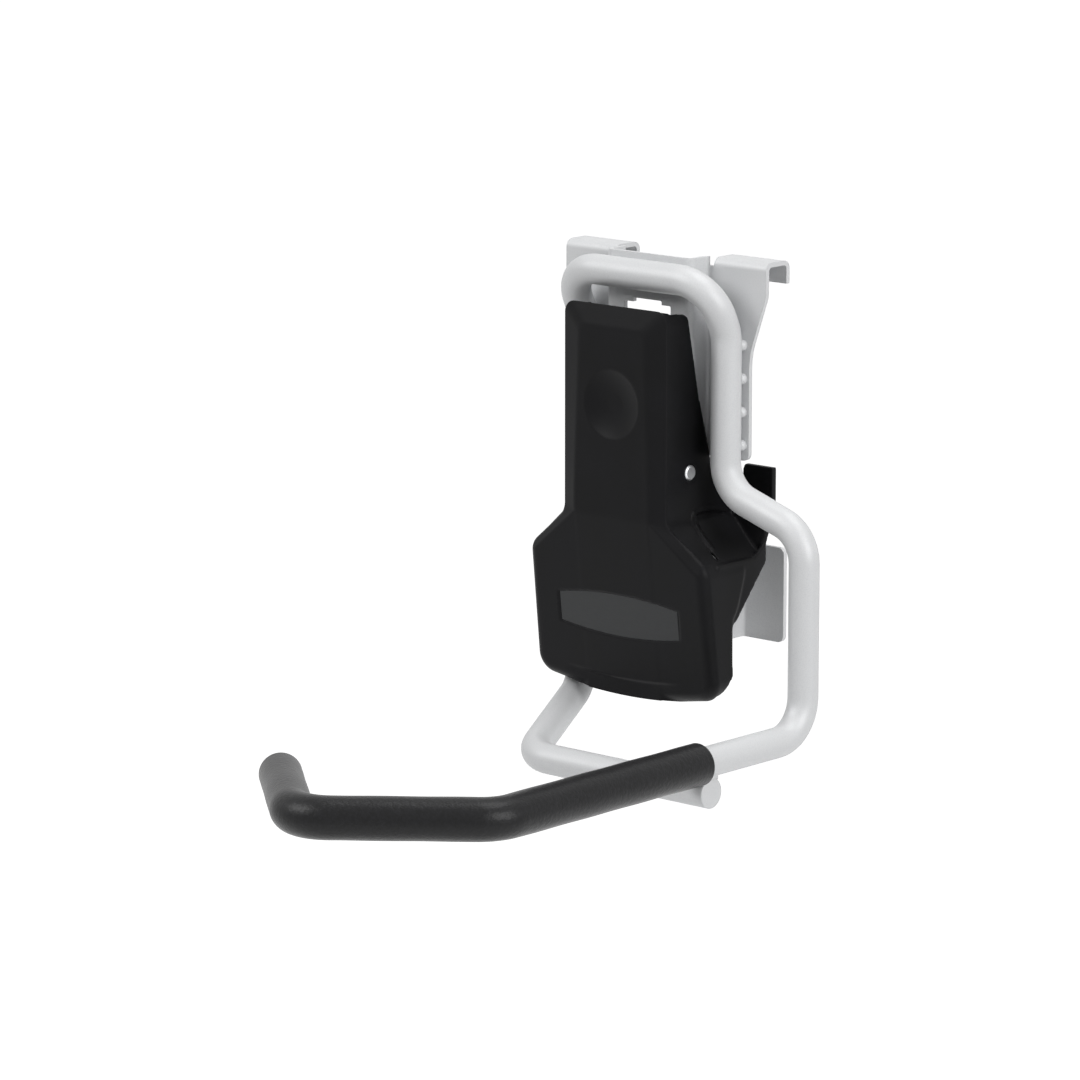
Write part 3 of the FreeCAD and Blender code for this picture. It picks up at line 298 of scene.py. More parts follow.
def carried_ring(places, headings, sides, radii):
    """Rings of points round a path. radii has a value for each place and each direction round the ring."""
    rim = ring_directions(headings, sides, radii.shape[1])[1]
    return places[:, None] + rim * radii[..., None]


def closed_tube(rings, first_pole, last_pole):
    """Points and faces of a tube of rings, closed by a fan at each end."""
    rows, columns = rings.shape[:2]
    points = np.concatenate([rings.reshape(-1, 3), first_pole[None], last_pole[None]])
    quads = grid_quads(rows, columns, True).tolist()
    step = np.arange(columns)
    after = (step + 1) % columns
    first = np.stack([np.full(columns, rows * columns), after, step], -1)
    last_ring = (rows - 1) * columns
    last = np.stack([np.full(columns, rows * columns + 1), last_ring + step, last_ring + after], -1)
    return points, quads + first.tolist() + last.tolist()


def closed_plate(across, front, back, up):
    """Points and faces of a plate between a front and a back grid, with a wall round their common rim."""
    rows, columns = across.shape
    count = rows * columns
    points = np.concatenate([np.stack([across, depth, up], -1).reshape(-1, 3) for depth in (front, back)])
    quads = grid_quads(rows, columns, False)
    rim = np.concatenate([
        np.arange(columns),
        np.arange(1, rows) * columns + columns - 1,
        (rows - 1) * columns + np.arange(columns - 2, -1, -1),
        np.arange(rows - 2, 0, -1) * columns,
    ])
    after = np.roll(rim, -1)
    walls = np.stack([rim, after, after + count, rim + count], -1)
    return points, np.concatenate([quads[:, ::-1], quads + count, walls]).tolist()


def with_round_ends(path, first, last):
    """The stations of a path with those of its two shaped ends put before and after it."""
    return tuple(np.concatenate([start, middle, end]) for start, middle, end in zip(first, path, last))


def settled(context, piece):
    """Swaps the piece's mesh for what its modifiers make of it, and takes them off."""
    context.view_layer.update()
    mesh = bpy.data.meshes.new_from_object(piece.evaluated_get(context.evaluated_depsgraph_get()))
    piece.modifiers.clear()
    piece.data = mesh
    return mesh


def carry_on(piece, body, slot, *nodes):
    """The piece rides on a body and stands for CAD nodes, which are hidden. The slot is not used."""
    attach(piece, body)
    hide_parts(*nodes)


# Materials

def linear(parts):
    """sRGB colour parts turned to linear light, with full alpha."""
    curve = (part / 12.92 if part <= 0.04045 else ((part + 0.055) / 1.055) ** 2.4 for part in parts)
    return (*curve, 1.0)


def add_node(tree, kind, settings=None, **sockets):
    """Adds a node, sets its attributes, and sets or links its sockets, named with _ for each space."""
    node = tree.nodes.new(kind)
    for name, setting in (settings or {}).items():
        setattr(node, name, setting)
    for name, content in sockets.items():
        key = name.replace("_", " ")
        socket = node.inputs[int(key[1:])] if key[0] == "i" and key[1:].isdigit() else node.inputs[key]
        if isinstance(content, bpy.types.NodeSocket):
            tree.links.new(content, socket)
        else:
            socket.default_value = content
    return node


def new_material(name):
    """An empty node material, its node tree, and the Object coordinates in it."""
    material = bpy.data.materials.new(name)
    material.use_nodes = True
    tree = material.node_tree
    tree.nodes.clear()
    return material, tree, add_node(tree, "ShaderNodeTexCoord").outputs["Object"]


def finish_shader(tree, **sockets):
    shader = add_node(tree, "ShaderNodeBsdfPrincipled", **sockets)
    add_node(tree, "ShaderNodeOutputMaterial", Surface=shader.outputs["BSDF"])


def two_tone(tree, factor, low, high):
    """Mix of two colours by a factor socket."""
    return add_node(tree, "ShaderNodeMix", {"data_type": "RGBA"}, Factor=factor, i6=low, i7=high).outputs[2]


def noise(tree, place, across, detail, roughness=0.5):
    """Noise whose largest features are about a given distance across."""
    return add_node(tree, "ShaderNodeTexNoise", Vector=place, Scale=1 / across, Detail=detail,
                    Roughness=roughness).outputs["Fac"]


def ranged(tree, value, low, high, start=0.0, end=1.0):
    """A value carried from one range to another and kept inside it."""
    return add_node(tree, "ShaderNodeMapRange", Value=value, From_Min=low, From_Max=high, To_Min=start,
                    To_Max=end).outputs["Result"]


def bumped(tree, height, distance, strength, **normal):
    """A normal tilted as a surface of this height would be."""
    return add_node(tree, "ShaderNodeBump", Height=height, Distance=distance, Strength=strength,
                    **normal).outputs["Normal"]


def drawn_out(tree, place, share):
    """Coordinates on which a pattern is drawn out along X."""
    return add_node(tree, "ShaderNodeMapping", Vector=place, Scale=(share, 1.0, 1.0)).outputs["Vector"]


def powder_coat(colours, name, ripple_height=0.0):
    """Polyester powder coat over steel: sprayed dry and baked, so it has a soft sheen, a faint orange peel
    1.5 mm across and fine aluminium flake. The flake is drawn 0.4 mm across, coarser than real, so that it
    shows."""
    material, tree, place = new_material(name)
    flecks = ranged(tree, noise(tree, place, 0.4 * MM, 2.0, 0.6), 0.42, 0.72)
    base = two_tone(tree, flecks, linear(colours.silver), linear(colours.silver_flake))
    soft = add_node(tree, "ShaderNodeBevel", {"samples": 4}, Radius=0.35 * MM)
    normal = bumped(tree, noise(tree, place, 1.5 * MM, 1.0), 0.02 * MM, 0.5, Normal=soft.outputs["Normal"])
    if ripple_height:
        normal = bumped(tree, noise(tree, place, 1.1 * MM, 2.0), ripple_height, 0.7, Normal=normal)
    sheen = ranged(tree, noise(tree, place, 22 * MM, 2.0), 0.3, 0.7, 0.45, 0.53)
    finish_shader(tree, Base_Color=base, Metallic=0.1, Specular_IOR_Level=0.35, Roughness=sheen,
                  Normal=normal)
    return material


def moulded_plastic(colours, name):
    """Glass filled polypropylene, injection moulded in a spark-eroded tool: near black and satin, with a
    grain 0.35 mm across that breaks up the highlight, and faint paler clouds where it flowed."""
    material, tree, place = new_material(name)
    cloud = noise(tree, place, 18 * MM, 3.0)
    flow = ranged(tree, cloud, 0.35, 0.7)
    base = two_tone(tree, flow, linear(colours.plastic), linear(colours.plastic_worn))
    normal = bumped(tree, noise(tree, place, 0.35 * MM, 2.0, 0.6), 0.02 * MM, 0.6)
    gloss = ranged(tree, cloud, 0.3, 0.7, 0.4, 0.48)
    finish_shader(tree, Base_Color=base, Roughness=gloss, IOR=1.49, Specular_IOR_Level=0.1, Normal=normal)
    return material


def inlay_film(colours):
    """Embossed polyester film on a plastic plate: a shade paler than the face, finely brushed across."""
    material, tree, place = new_material("polyester film, satin")
    lines = noise(tree, drawn_out(tree, place, 0.12), 0.4 * MM, 2.0)
    tone = ranged(tree, lines, 0.3, 0.7, 0.96, 1.04)
    base = add_node(tree, "ShaderNodeHueSaturation", Value=tone, Color=linear(colours.inlay))
    finish_shader(tree, Base_Color=base.outputs["Color"], Roughness=0.42, IOR=1.5, Specular_IOR_Level=0.2,
                  Normal=bumped(tree, lines, 0.01 * MM, 0.5))
    return material


def foam_skin(colours):
    """Extruded nitrile foam tube with its own skin: matt black, pebbled 1.6 mm across over fine pores
    0.6 mm across, with a faint sheen."""
    material, tree, place = new_material("nitrile foam, skinned")
    pebble = noise(tree, place, 1.6 * MM, 3.0, 0.55)
    pores = add_node(tree, "ShaderNodeTexVoronoi", Vector=place, Scale=1 / (0.6 * MM))
    tone = ranged(tree, pebble, 0.38, 0.66)
    base = two_tone(tree, tone, linear(colours.sleeve), linear(colours.sleeve_pale))
    coarse = bumped(tree, pebble, 0.24 * MM, 0.7)
    fine = bumped(tree, pores.outputs["Distance"], 0.06 * MM, 0.5, Normal=coarse)
    finish_shader(tree, Base_Color=base, Roughness=0.36, IOR=1.5, Specular_IOR_Level=0.22,
                  Sheen_Weight=0.05, Sheen_Roughness=0.45, Normal=fine)
    return material


def drawn_steel(parts, name, rough):
    """Cold drawn steel, zinc plated or oiled: a plain metal with fine lines along it 0.3 mm apart."""
    material, tree, place = new_material(name)
    lines = noise(tree, drawn_out(tree, place, 0.1), 0.3 * MM, 2.0)
    spread = ranged(tree, lines, 0.3, 0.7, rough - 0.05, rough + 0.07)
    soft = add_node(tree, "ShaderNodeBevel", {"samples": 4}, Radius=0.2 * MM)
    normal = bumped(tree, lines, 0.01 * MM, 0.4, Normal=soft.outputs["Normal"])
    finish_shader(tree, Base_Color=linear(parts), Metallic=1.0, Roughness=spread, Normal=normal)
    return material


def finish(name):
    """One of the finishes by its own name, made when it is first asked for."""
    colours = bpy.context.scene.hook_colours
    makers = {
        "powder coat, satin silver": lambda: powder_coat(colours, name),
        "powder coat over weld": lambda: powder_coat(colours, name, 0.25 * MM),
        "polypropylene, spark grain": lambda: moulded_plastic(colours, name),
        "polyester film, satin": lambda: inlay_film(colours),
        "nitrile foam, skinned": lambda: foam_skin(colours),
        "steel, zinc plated": lambda: drawn_steel(colours.zinc, name, 0.45),
        "spring wire, oiled": lambda: drawn_steel(colours.wire, name, 0.35),
    }
    return bpy.data.materials.get(name) or makers[name]()


def dress(mesh, material):
    """Gives a mesh one material in place of all it had."""
    mesh.materials.clear()
    mesh.materials.append(material)


# The rod and its sleeve

def rod_corners(rod):
    """Corners of the rod's centre line from the brace's free end to the tip of the arm."""
    brace_drop = rod.arm_drop + rod.diameter
    return np.array([
        (rod.arm_offset + rod.brace_overrun, -rod.brace_reach, -brace_drop),
        (-rod.brace_corner, -rod.brace_reach, -brace_drop),
        (-rod.leg_half, -rod.leg_reach, -rod.leg_foot_drop),
        (-rod.leg_half, -rod.leg_reach, -rod.shoulder_drop),
        (-rod.leg_half, -rod.bar_reach, -rod.bar_drop),
        (rod.leg_half, -rod.bar_reach, -rod.bar_drop),
        (rod.leg_half, -rod.leg_reach, -rod.shoulder_drop),
        (rod.leg_half, -rod.leg_reach, -rod.jog_top_drop),
        (rod.arm_offset, -rod.leg_reach, -rod.jog_foot_drop),
        (rod.arm_offset, -rod.leg_reach, -rod.arm_drop),
        (rod.arm_offset, -rod.arm_reach, -rod.arm_drop),
        (rod.nose_offset, -rod.nose_reach, -rod.arm_drop),
        (-rod.tip_offset, -rod.tip_reach, -rod.arm_drop),
    ])


def end_stations(place, heading, side, setbacks):
    """Stations at small setbacks from a square end, along the heading."""
    count = len(setbacks)
    places = place + heading * np.asarray(setbacks)[:, None]
    return places, np.repeat(heading[None], count, 0), np.repeat(side[None], count, 0)


class HOOK_OT_rod(bpy.types.Operator):
    """One round bar carried round every bend, with a deburred end at each side"""
    bl_idname = "hook.rod"
    bl_label = "Bent rod"

    def execute(self, context):
        rod = context.scene.hook_rod
        step, around = 1.6 * MM, 72
        places, headings, sides = along_bends(rod_corners(rod), rod.bend, step)
        # Setbacks and reductions of the rings of a sheared end, from the middle of its face outwards
        setbacks = np.array([0, 0, 0.1, 0.4, 1.0]) * rod.end_chamfer
        reductions = np.array([6.0, 1.0, 0.6, 0.15, 0.0]) * rod.end_chamfer
        first = end_stations(places[0], headings[0], sides[0], setbacks)
        last = end_stations(places[-1], headings[-1], sides[-1], -setbacks[::-1])
        inner = places[1:-1], headings[1:-1], sides[1:-1]
        places, headings, sides = with_round_ends(inner, first, last)
        radii = np.full((len(places), around), rod.diameter / 2)
        radii[:len(setbacks)] -= reductions[:, None]
        radii[-len(setbacks):] -= reductions[::-1, None]
        rings = carried_ring(places, headings, sides, radii)
        points, faces = closed_tube(rings, places[0], places[-1])
        piece = new_piece("bent_rod", points, faces, finish("powder coat, satin silver"), 50)
        carry_on(piece, "frame", "rod_steel", "hook_rod")
        return {"FINISHED"}


class HOOK_OT_sleeve(bpy.types.Operator):
    """Soft tube along the arm: wrinkled inside its bends, cut square at the start, rounded at the tip"""
    bl_idname = "hook.sleeve"
    bl_label = "Soft sleeve"

    def execute(self, context):
        rod = context.scene.hook_rod
        sleeve = context.scene.hook_sleeve
        outer = rod.diameter / 2 + sleeve.wall
        step, around = 0.7 * MM, 112
        corners = rod_corners(rod)[-4:]
        corners[0] = (rod.arm_offset, -sleeve.start_reach, -rod.arm_drop)
        corners[-1] += unit(corners[-1] - corners[-2]) * sleeve.end_cap
        places, headings, sides = along_bends(corners, rod.bend, step)
        # How strongly the path bends, spread a little past each bend, and which way the bend's inside is
        turn = np.gradient(headings, axis=0)
        bending = np.linalg.norm(turn, axis=1)
        inward = turn / np.maximum(bending, 1e-9)[:, None]
        spread = np.hanning(15) / np.hanning(15).sum()
        bending = np.convolve(bending > bending.max() * 0.5, spread, "same")
        angle, rim = ring_directions(headings, sides, around)
        facing = np.einsum("nmk,nk->nm", rim, inward)
        travel = np.concatenate([[0], np.cumsum(np.linalg.norm(np.diff(places, axis=0), axis=1))])
        # Wrinkles are a sine along the path, strongest on the inside of the bend, their lines bent a little
        wrinkle_length, wrinkle_bend = 3.6 * MM, 0.9
        phase = 2 * math.pi * travel[:, None] / wrinkle_length + wrinkle_bend * np.sin(2 * angle)[None]
        wrinkle = sleeve.wrinkle * np.sin(phase) * eased(facing, 0.35, 0.95) * bending[:, None]
        sunk = sleeve.wrinkle * 0.5 * bending[:, None] * eased(facing, 0.2, 0.9)
        # The tube was pulled on, so it swells and narrows by a few hundredths of a millimetre
        swell_height, swell_length = 0.05 * MM, 31 * MM
        swell = swell_height * np.sin(2 * math.pi * travel / swell_length)[:, None]
        # The swollen tube stays a little within the CAD solid
        within = 0.02 * MM
        radii = outer - within - swell_height + swell + wrinkle - sunk
        # Cut end: a short soft edge. Tip: a quarter circle of the end rounding, then the flat middle
        start_setbacks = np.array([0, 0, 0.12, 0.4, 0.7]) * MM
        start_radii = outer - within - np.array([2.2, 0.55, 0.3, 0.08, 0.0]) * MM
        first = end_stations(places[0], headings[0], sides[0], start_setbacks)
        bow = np.linspace(0, math.pi / 2, 13)
        end_setbacks = np.append(sleeve.end_round * (1 - np.sin(bow)), 0.0)
        end_radii = outer - np.append(sleeve.end_round * (1 - np.cos(bow)), outer * 0.55)
        last = end_stations(places[-1], headings[-1], sides[-1], -end_setbacks)
        kept = travel < travel[-1] - sleeve.end_round - 0.2 * MM
        kept[:2] = False
        rings = np.concatenate([
            carried_ring(*first, np.repeat(start_radii[:, None], around, 1)),
            carried_ring(places[kept], headings[kept], sides[kept], radii[kept]),
            carried_ring(*last, np.repeat(end_radii[:, None], around, 1)),
        ])
        points, faces = closed_tube(rings, places[0], places[-1])
        piece = new_piece("soft_sleeve", points, faces, finish("nitrile foam, skinned"), 60)
        carry_on(piece, "frame", "sleeve_foam", "grip_sleeve")
        return {"FINISHED"}


# The bracket, pin and welds keep their CAD solids

METALWORK = {
    "rail_bracket": "powder coat, satin silver",
    "pivot_pin": "steel, zinc plated",
    "weld_tacks": "powder coat over weld",
    "brace_weld": "powder coat over weld",
}


class HOOK_OT_metalwork(bpy.types.Operator):
    """Finishes of the folded bracket, the pin and the welds"""
    bl_idname = "hook.metalwork"
    bl_label = "Bracket, pin and welds"

    def execute(self, context):
        for node, name in METALWORK.items():
            dress(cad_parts[node].data, finish(name))
        return {"FINISHED"}


class HOOK_OT_spring(bpy.types.Operator):
    """Wire spring: a copy of the CAD solid with its doubled points merged, the solid itself hidden"""
    bl_idname = "hook.spring"
    bl_label = "Torsion spring"

    def execute(self, context):
        piece = bpy.data.objects.new("wire_spring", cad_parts["torsion_spring"].data.copy())
        context.scene.collection.objects.link(piece)
        weld = piece.modifiers.new("weld", "WELD")
        weld.merge_threshold = 0.002 * MM
        merged = settled(context, piece)
        merged.name = "wire_spring"
        dress(merged, finish("spring wire, oiled"))
        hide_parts("torsion_spring")
        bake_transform(piece)
        return {"FINISHED"}


# The face and its inlay

def face_boundary(face):
    """Right half of the face's outline, from the middle of its top edge to the middle of its foot."""
    slope = (face.skirt_peak_drop - face.skirt_corner_drop) / face.skirt_half
    return [
        (0, -face.top_drop, 0),
        (face.half, -face.top_drop, face.corner),
        (face.half, -face.flare_top_drop, face.flare_inner_round),
        (face.flare_half, -face.flare_foot_drop, face.flare_outer_round),
        (face.skirt_half, -face.skirt_corner_drop, face.skirt_corner),
        (0, -face.skirt_corner_drop - slope * face.skirt_half, 0),
    ]


def crowned_foot(face, across):
    """Height of the foot's edge: two slopes that meet in the middle, with an arc of the crown radius."""
    slope = (face.skirt_peak_drop - face.skirt_corner_drop) / face.skirt_half
    straight = -face.skirt_peak_drop + slope * np.abs(across)
    tilt = math.atan(slope)
    reach = face.skirt_crown * math.sin(tilt)
    centre = -face.skirt_peak_drop + face.skirt_crown / math.cos(tilt)
    arc = centre - np.sqrt(face.skirt_crown ** 2 - np.minimum(np.abs(across), reach) ** 2)
    return np.where(np.abs(across) < reach, arc, straight)


def parting(face, up):
    """Where the back of the face stands: upright down to the kink, then leaning back."""
    kink = -face.flare_top_drop + face.kink_rise
    return -face.parting_reach + face.lean * smooth_most(kink - up, 0 * up, 1.5 * MM)


def badge_crown(face, across):
    """Half the inlay's height: an arc through its half heights in the middle and at the ends."""
    sagitta = face.badge_middle_half - face.badge_end_half
    radius = (face.badge_half ** 2 + sagitta ** 2) / (2 * sagitta)
    near = np.minimum(np.abs(across), face.badge_half * 1.2)
    return face.badge_middle_half - radius + np.sqrt(radius ** 2 - near ** 2)


def badge_distance(face, across, up):
    """How far inside the inlay's outline a point is: ends are upright, top and foot are arcs."""
    to_edge = badge_crown(face, across) - np.abs(up + face.badge_drop)
    return np.minimum(face.badge_half - np.abs(across), to_edge)


# How softly the face's flats and bevels run into each other
SOFT = 0.3 * MM
SOFT_CORNER = 1.2 * MM
SOFT_DIMPLE = 0.12 * MM
# The finger lip: how far it steps back, and where it starts to fade and is gone, from the middle
LIP_STEP = 0.8 * MM
LIP_FADE = 14 * MM, 34 * MM
# The small round along the whole edge, and the least thickness there
EDGE_LIGHT_ROUND = 0.45 * MM
EDGE_THICKNESS = 0.12 * MM


def face_height(face, across, up, edge_distance):
    """Height of the face over its back.

    The head is the least of the flat face, two side bevels and the top bevel. The foot is the least of the
    flat face, the flare's bevel and a quarter round at the edge. The face is the larger of the two. The thumb
    dimple is a sphere cut from it, the finger lip a shallow step near the foot, and the inlay's recess a step
    inside its outline. Last comes a small round along the edge, kept a little in front of the back, the wrap
    included."""
    gain = face.rise - face.lip
    flat = np.full(across.shape, float(face.rise))
    taper = eased(up, -face.flare_top_drop, -face.top_drop)
    bevel = face.bevel_foot + (face.bevel - face.bevel_foot) * taper
    side = face.lip + gain * (face.half - np.abs(across)) / bevel
    top = face.lip + gain * (-face.top_drop - up) / face.top_bevel
    head = smooth_least(smooth_least(side, top, SOFT_CORNER), flat, SOFT)
    run = np.array([face.flare_half - face.half, face.flare_top_drop - face.flare_foot_drop])
    normal = np.array([run[1], -run[0]]) / np.linalg.norm(run)
    along = (np.abs(across) - face.half) * normal[0] + (up + face.flare_top_drop) * normal[1]
    flare = face.lip + gain * along / face.flare_bevel
    near = np.clip(edge_distance, 0, face.edge_round)
    quarter = face.rise - face.edge_round + np.sqrt(face.edge_round ** 2 - (face.edge_round - near) ** 2)
    foot = smooth_least(smooth_least(flare, flat, SOFT), quarter, SOFT)
    # The lesser of the two cuts under the flat face, eased where they are alike, none where either is none
    head_cut, foot_cut = np.maximum(flat - head, 0), np.maximum(flat - foot, 0)
    spread = (head_cut ** 4 + foot_cut ** 4) ** 0.25
    height = flat - head_cut * foot_cut / np.maximum(spread, 1e-9)
    dish = (face.dimple_radius ** 2 + face.dimple_depth ** 2) / (2 * face.dimple_depth)
    from_middle = np.hypot(across, up + face.dimple_drop)
    bowl = np.sqrt(dish ** 2 - np.minimum(from_middle, dish * 0.9) ** 2) - (dish - face.dimple_depth)
    height = height - smooth_most(bowl, 0 * bowl, SOFT_DIMPLE)
    # Finger lip: the face steps back under an arc about 8 mm above the foot
    above_foot = up - crowned_foot(face, across)
    fade = 1 - eased(np.abs(across), *LIP_FADE)
    step = (1 - eased(above_foot, 7.2 * MM, 8.4 * MM)) * eased(above_foot, -1.0 * MM, 6.5 * MM)
    height = height - LIP_STEP * fade * step
    # The pocket is a quarter of a millimetre deeper than the inlay's face, which stands on its own plate
    pocket = eased(badge_distance(face, across, up), -0.35 * MM, 0.05 * MM)
    height = height - (face.badge_recess + 0.25 * MM) * pocket
    # A small quarter round along the whole edge catches the light as a thin line
    near = np.clip(edge_distance, 0, EDGE_LIGHT_ROUND)
    rim = np.sqrt(EDGE_LIGHT_ROUND ** 2 - (EDGE_LIGHT_ROUND - near) ** 2)
    past_rim = np.where(edge_distance > EDGE_LIGHT_ROUND, 1.0, 0.0)
    height = np.minimum(height, rim + past_rim + EDGE_THICKNESS)
    return np.maximum(height, EDGE_THICKNESS - wrapped(face, up, edge_distance))


def wrapped(face, up, edge_distance):
    """How far the back of the face is carried over the lever: only round the foot, and at its very edge."""
    foot = eased(-up, face.flare_top_drop, face.flare_foot_drop)
    return face.foot_wrap * foot * (1 - eased(edge_distance, 0.4 * MM, 0.55 * MM))


class HOOK_OT_face(bpy.types.Operator):
    """Moulded face: bevelled head, leaning foot, thumb dimple, finger lip and a recess for the inlay"""
    bl_idname = "hook.face"
    bl_label = "Lever face"

    def execute(self, context):
        face = context.scene.hook_face
        outline = rounded_outline(face_boundary(face), 0.55 * MM)
        # Rows run down the outline between its top and foot corners, from one side of the face to the other
        turn_in = np.argmax(outline[:, 0] >= face.half - face.corner - 1e-7)
        foot = len(outline) - np.argmax(outline[::-1, 0] >= face.skirt_half - face.skirt_corner)
        boundary = outline[turn_in:foot]
        low_x, low_z = boundary[-1]
        width = boundary[:, :1]
        # Columns stand close at the edge, for its rounding, and evenly between
        margins = np.array([0, 0.05, 0.12, 0.22, 0.35, 0.5, 0.75, 1.1, 1.6, 2.2, 2.9, 3.7, 4.6, 5.6]) * MM
        share = np.linspace(0, 1, 46)[1:-1]
        edge = width - margins
        half = np.concatenate([edge[:, -1:] * share, edge[:, ::-1]], 1)
        across = np.concatenate([-half[:, ::-1], np.zeros((len(boundary), 1)), half], 1)
        # Towards the foot the rows bend to follow its crowned edge
        drop = eased(boundary[:, 1:], -face.flare_foot_drop, low_z)
        up = boundary[:, 1:] + drop * (crowned_foot(face, across / width * low_x) - low_z)
        mirrored = outline * np.array([-1, 1])
        crown_x = np.linspace(-low_x, low_x, 61)
        crown = np.stack([crown_x, crowned_foot(face, crown_x)], -1)
        distance = np.minimum(
            distance_to_outline(across, up, np.concatenate([mirrored[:foot][::-1], outline[1:foot]])),
            distance_to_outline(across, up, crown))
        plane = parting(face, up)
        front = plane - face_height(face, across, up, distance)
        back = plane + wrapped(face, up, distance)
        points, faces = closed_plate(across, front, back, up)
        piece = new_piece("lever_face", points, faces, finish("polypropylene, spark grain"), 60)
        carry_on(piece, "lever", "cover_plastic", "face_cover")
        return {"FINISHED"}


class HOOK_OT_inlay(bpy.types.Operator):
    """Bare inlay: a plate with upright ends and crowned long edges, its rim eased"""
    bl_idname = "hook.inlay"
    bl_label = "Inlay"

    def execute(self, context):
        face = context.scene.hook_face
        along = np.linspace(-1, 1, 121)[:, None]
        away = np.linspace(-1, 1, 41)
        # Rows and columns crowd towards the rim by a power of the distance left
        across = np.sign(along) * (1 - (1 - np.abs(along)) ** 1.35) * face.badge_half
        across = np.repeat(across, len(away), 1)
        crown = badge_crown(face, across)
        local = np.sign(away) * (1 - (1 - np.abs(away)) ** 1.5) * crown
        up = local - face.badge_drop
        inside = np.minimum(face.badge_half - np.abs(across), crown - np.abs(local))
        ease = 0.3 * MM
        rim = ease - np.sqrt(ease ** 2 - (ease - np.clip(inside, 0, ease)) ** 2)
        surface = parting(face, up) - face.rise + face.badge_recess
        points, faces = closed_plate(across, surface + rim, surface + face.badge_thickness * 0.9, up)
        piece = new_piece("inlay_plate", points, faces, finish("polyester film, satin"), 60)
        carry_on(piece, "lever", "badge_film", "badge_plate")
        return {"FINISHED"}


# The moulded lever

LIP_RADIUS = 1.0 * MM
# Corners of the two raised lips round the right shoulder's trough, in millimetres
LIPS = (
    [(26.9, -14.2, -102.8), (26.9, -12.3, -102.2), (26.9, -6.6, -102.2), (26.9, -0.8, -102.9),
     (26.9, 5.7, -104.7)],
    [(26.9, -14.2, -102.8), (29.9, -16.3, -108.1), (34.7, -17.3, -111.9), (38.9, -17.5, -115.3)],
)
# Outline of the wedge that carries each side wall further back beside the pin, and the wall's two faces
WEB_OUTLINE = [(-12.0, -57.0), (-10.2, -57.0), (-5.6, -73.4), (-3.7, -80.0), (-2.3, -86.0), (-1.6, -92.0),
               (-1.6, -100.0), (-6.0, -100.0)]
WEB_FACES = 24.95 * MM, 26.85 * MM


def bead(corners, radius):
    """A round bead carried along a bent line, its ends closed by half spheres of rings."""
    bend, step, around = 1.5 * MM, 0.6 * MM, 20
    places, headings, sides = along_bends(corners, bend, step)
    bow = np.linspace(0, math.pi / 2, 6)[:-1]
    setbacks = -radius * np.cos(bow)
    shrunk = radius * np.maximum(np.sin(bow), 0.05)[:, None]
    first = end_stations(places[0], headings[0], sides[0], setbacks)
    last = end_stations(places[-1], headings[-1], sides[-1], -setbacks[::-1])
    places, headings, sides = with_round_ends((places, headings, sides), first, last)
    radii = np.full((len(places), around), radius)
    radii[:len(bow)] = shrunk
    radii[-len(bow):] = shrunk[::-1]
    return closed_tube(carried_ring(places, headings, sides, radii), places[0], places[-1])


def web(low, high):
    """A flat wedge: the closed outline carried from one face of a side wall to the other."""
    outline = np.array(WEB_OUTLINE) * MM
    count = len(outline)
    step = np.arange(count)
    after = (step + 1) % count
    points = np.concatenate([np.insert(outline, 0, side, 1) for side in (low, high)])
    walls = np.stack([step, after, after + count, step + count], -1).tolist()
    return points, walls + [step[::-1].tolist(), (step + count).tolist()]


def loose_triangles(mesh):
    """Points and triangles of a CAD node's mesh."""
    points = np.empty(len(mesh.vertices) * 3)
    mesh.vertices.foreach_get("co", points)
    corners = np.empty(len(mesh.loops), int)
    mesh.loops.foreach_get("vertex_index", corners)
    return points.reshape(-1, 3), corners.reshape(-1, 3).tolist()


class HOOK_OT_lever(bpy.types.Operator):
    """Moulded lever behind the face: the CAD solid with its edges eased as a moulding's are"""
    bl_idname = "hook.lever"
    bl_label = "Locking lever"

    def execute(self, context):
        points, faces = loose_triangles(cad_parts["locking_lever"].data)
        inner, outer = WEB_FACES
        extras = [bead(np.array(corners) * MM, LIP_RADIUS) for corners in LIPS]
        for more, more_faces in extras + [web(inner, outer), web(-outer, -inner)]:
            faces += [[corner + len(points) for corner in face] for face in more_faces]
            points = np.concatenate([points, more])
        material = finish("polypropylene, spark grain")
        piece = new_piece("lever_body", points, faces, material)
        # The voxels melt the solids into one skin, and the smoothing rounds its edges by about one voxel
        weld = piece.modifiers.new("weld", "WELD")
        weld.merge_threshold = 0.005 * MM
        voxels = piece.modifiers.new("voxels", "REMESH")
        voxels.mode = "VOXEL"
        voxels.voxel_size = 0.6 * MM
        ease = piece.modifiers.new("ease", "SMOOTH")
        ease.factor = 0.5
        ease.iterations = 5
        thin = piece.modifiers.new("thin", "DECIMATE")
        thin.ratio = 0.5
        skin = settled(context, piece)
        dress(skin, material)
        skin.shade_smooth()
        carry_on(piece, "lever", "lever_plastic", "locking_lever")
        return {"FINISHED"}


# The studio

def camera_rays(tree):
    """1 for rays that the camera, a mirror or a clear material sends out, else 0."""
    path = add_node(tree, "ShaderNodeLightPath")
    mirrored = add_node(tree, "ShaderNodeMath", {"operation": "MAXIMUM"},
                        i0=path.outputs["Is Camera Ray"], i1=path.outputs["Is Glossy Ray"])
    return add_node(tree, "ShaderNodeMath", {"operation": "MAXIMUM"},
                    i0=mirrored.outputs[0], i1=path.outputs["Is Transmission Ray"]).outputs[0]


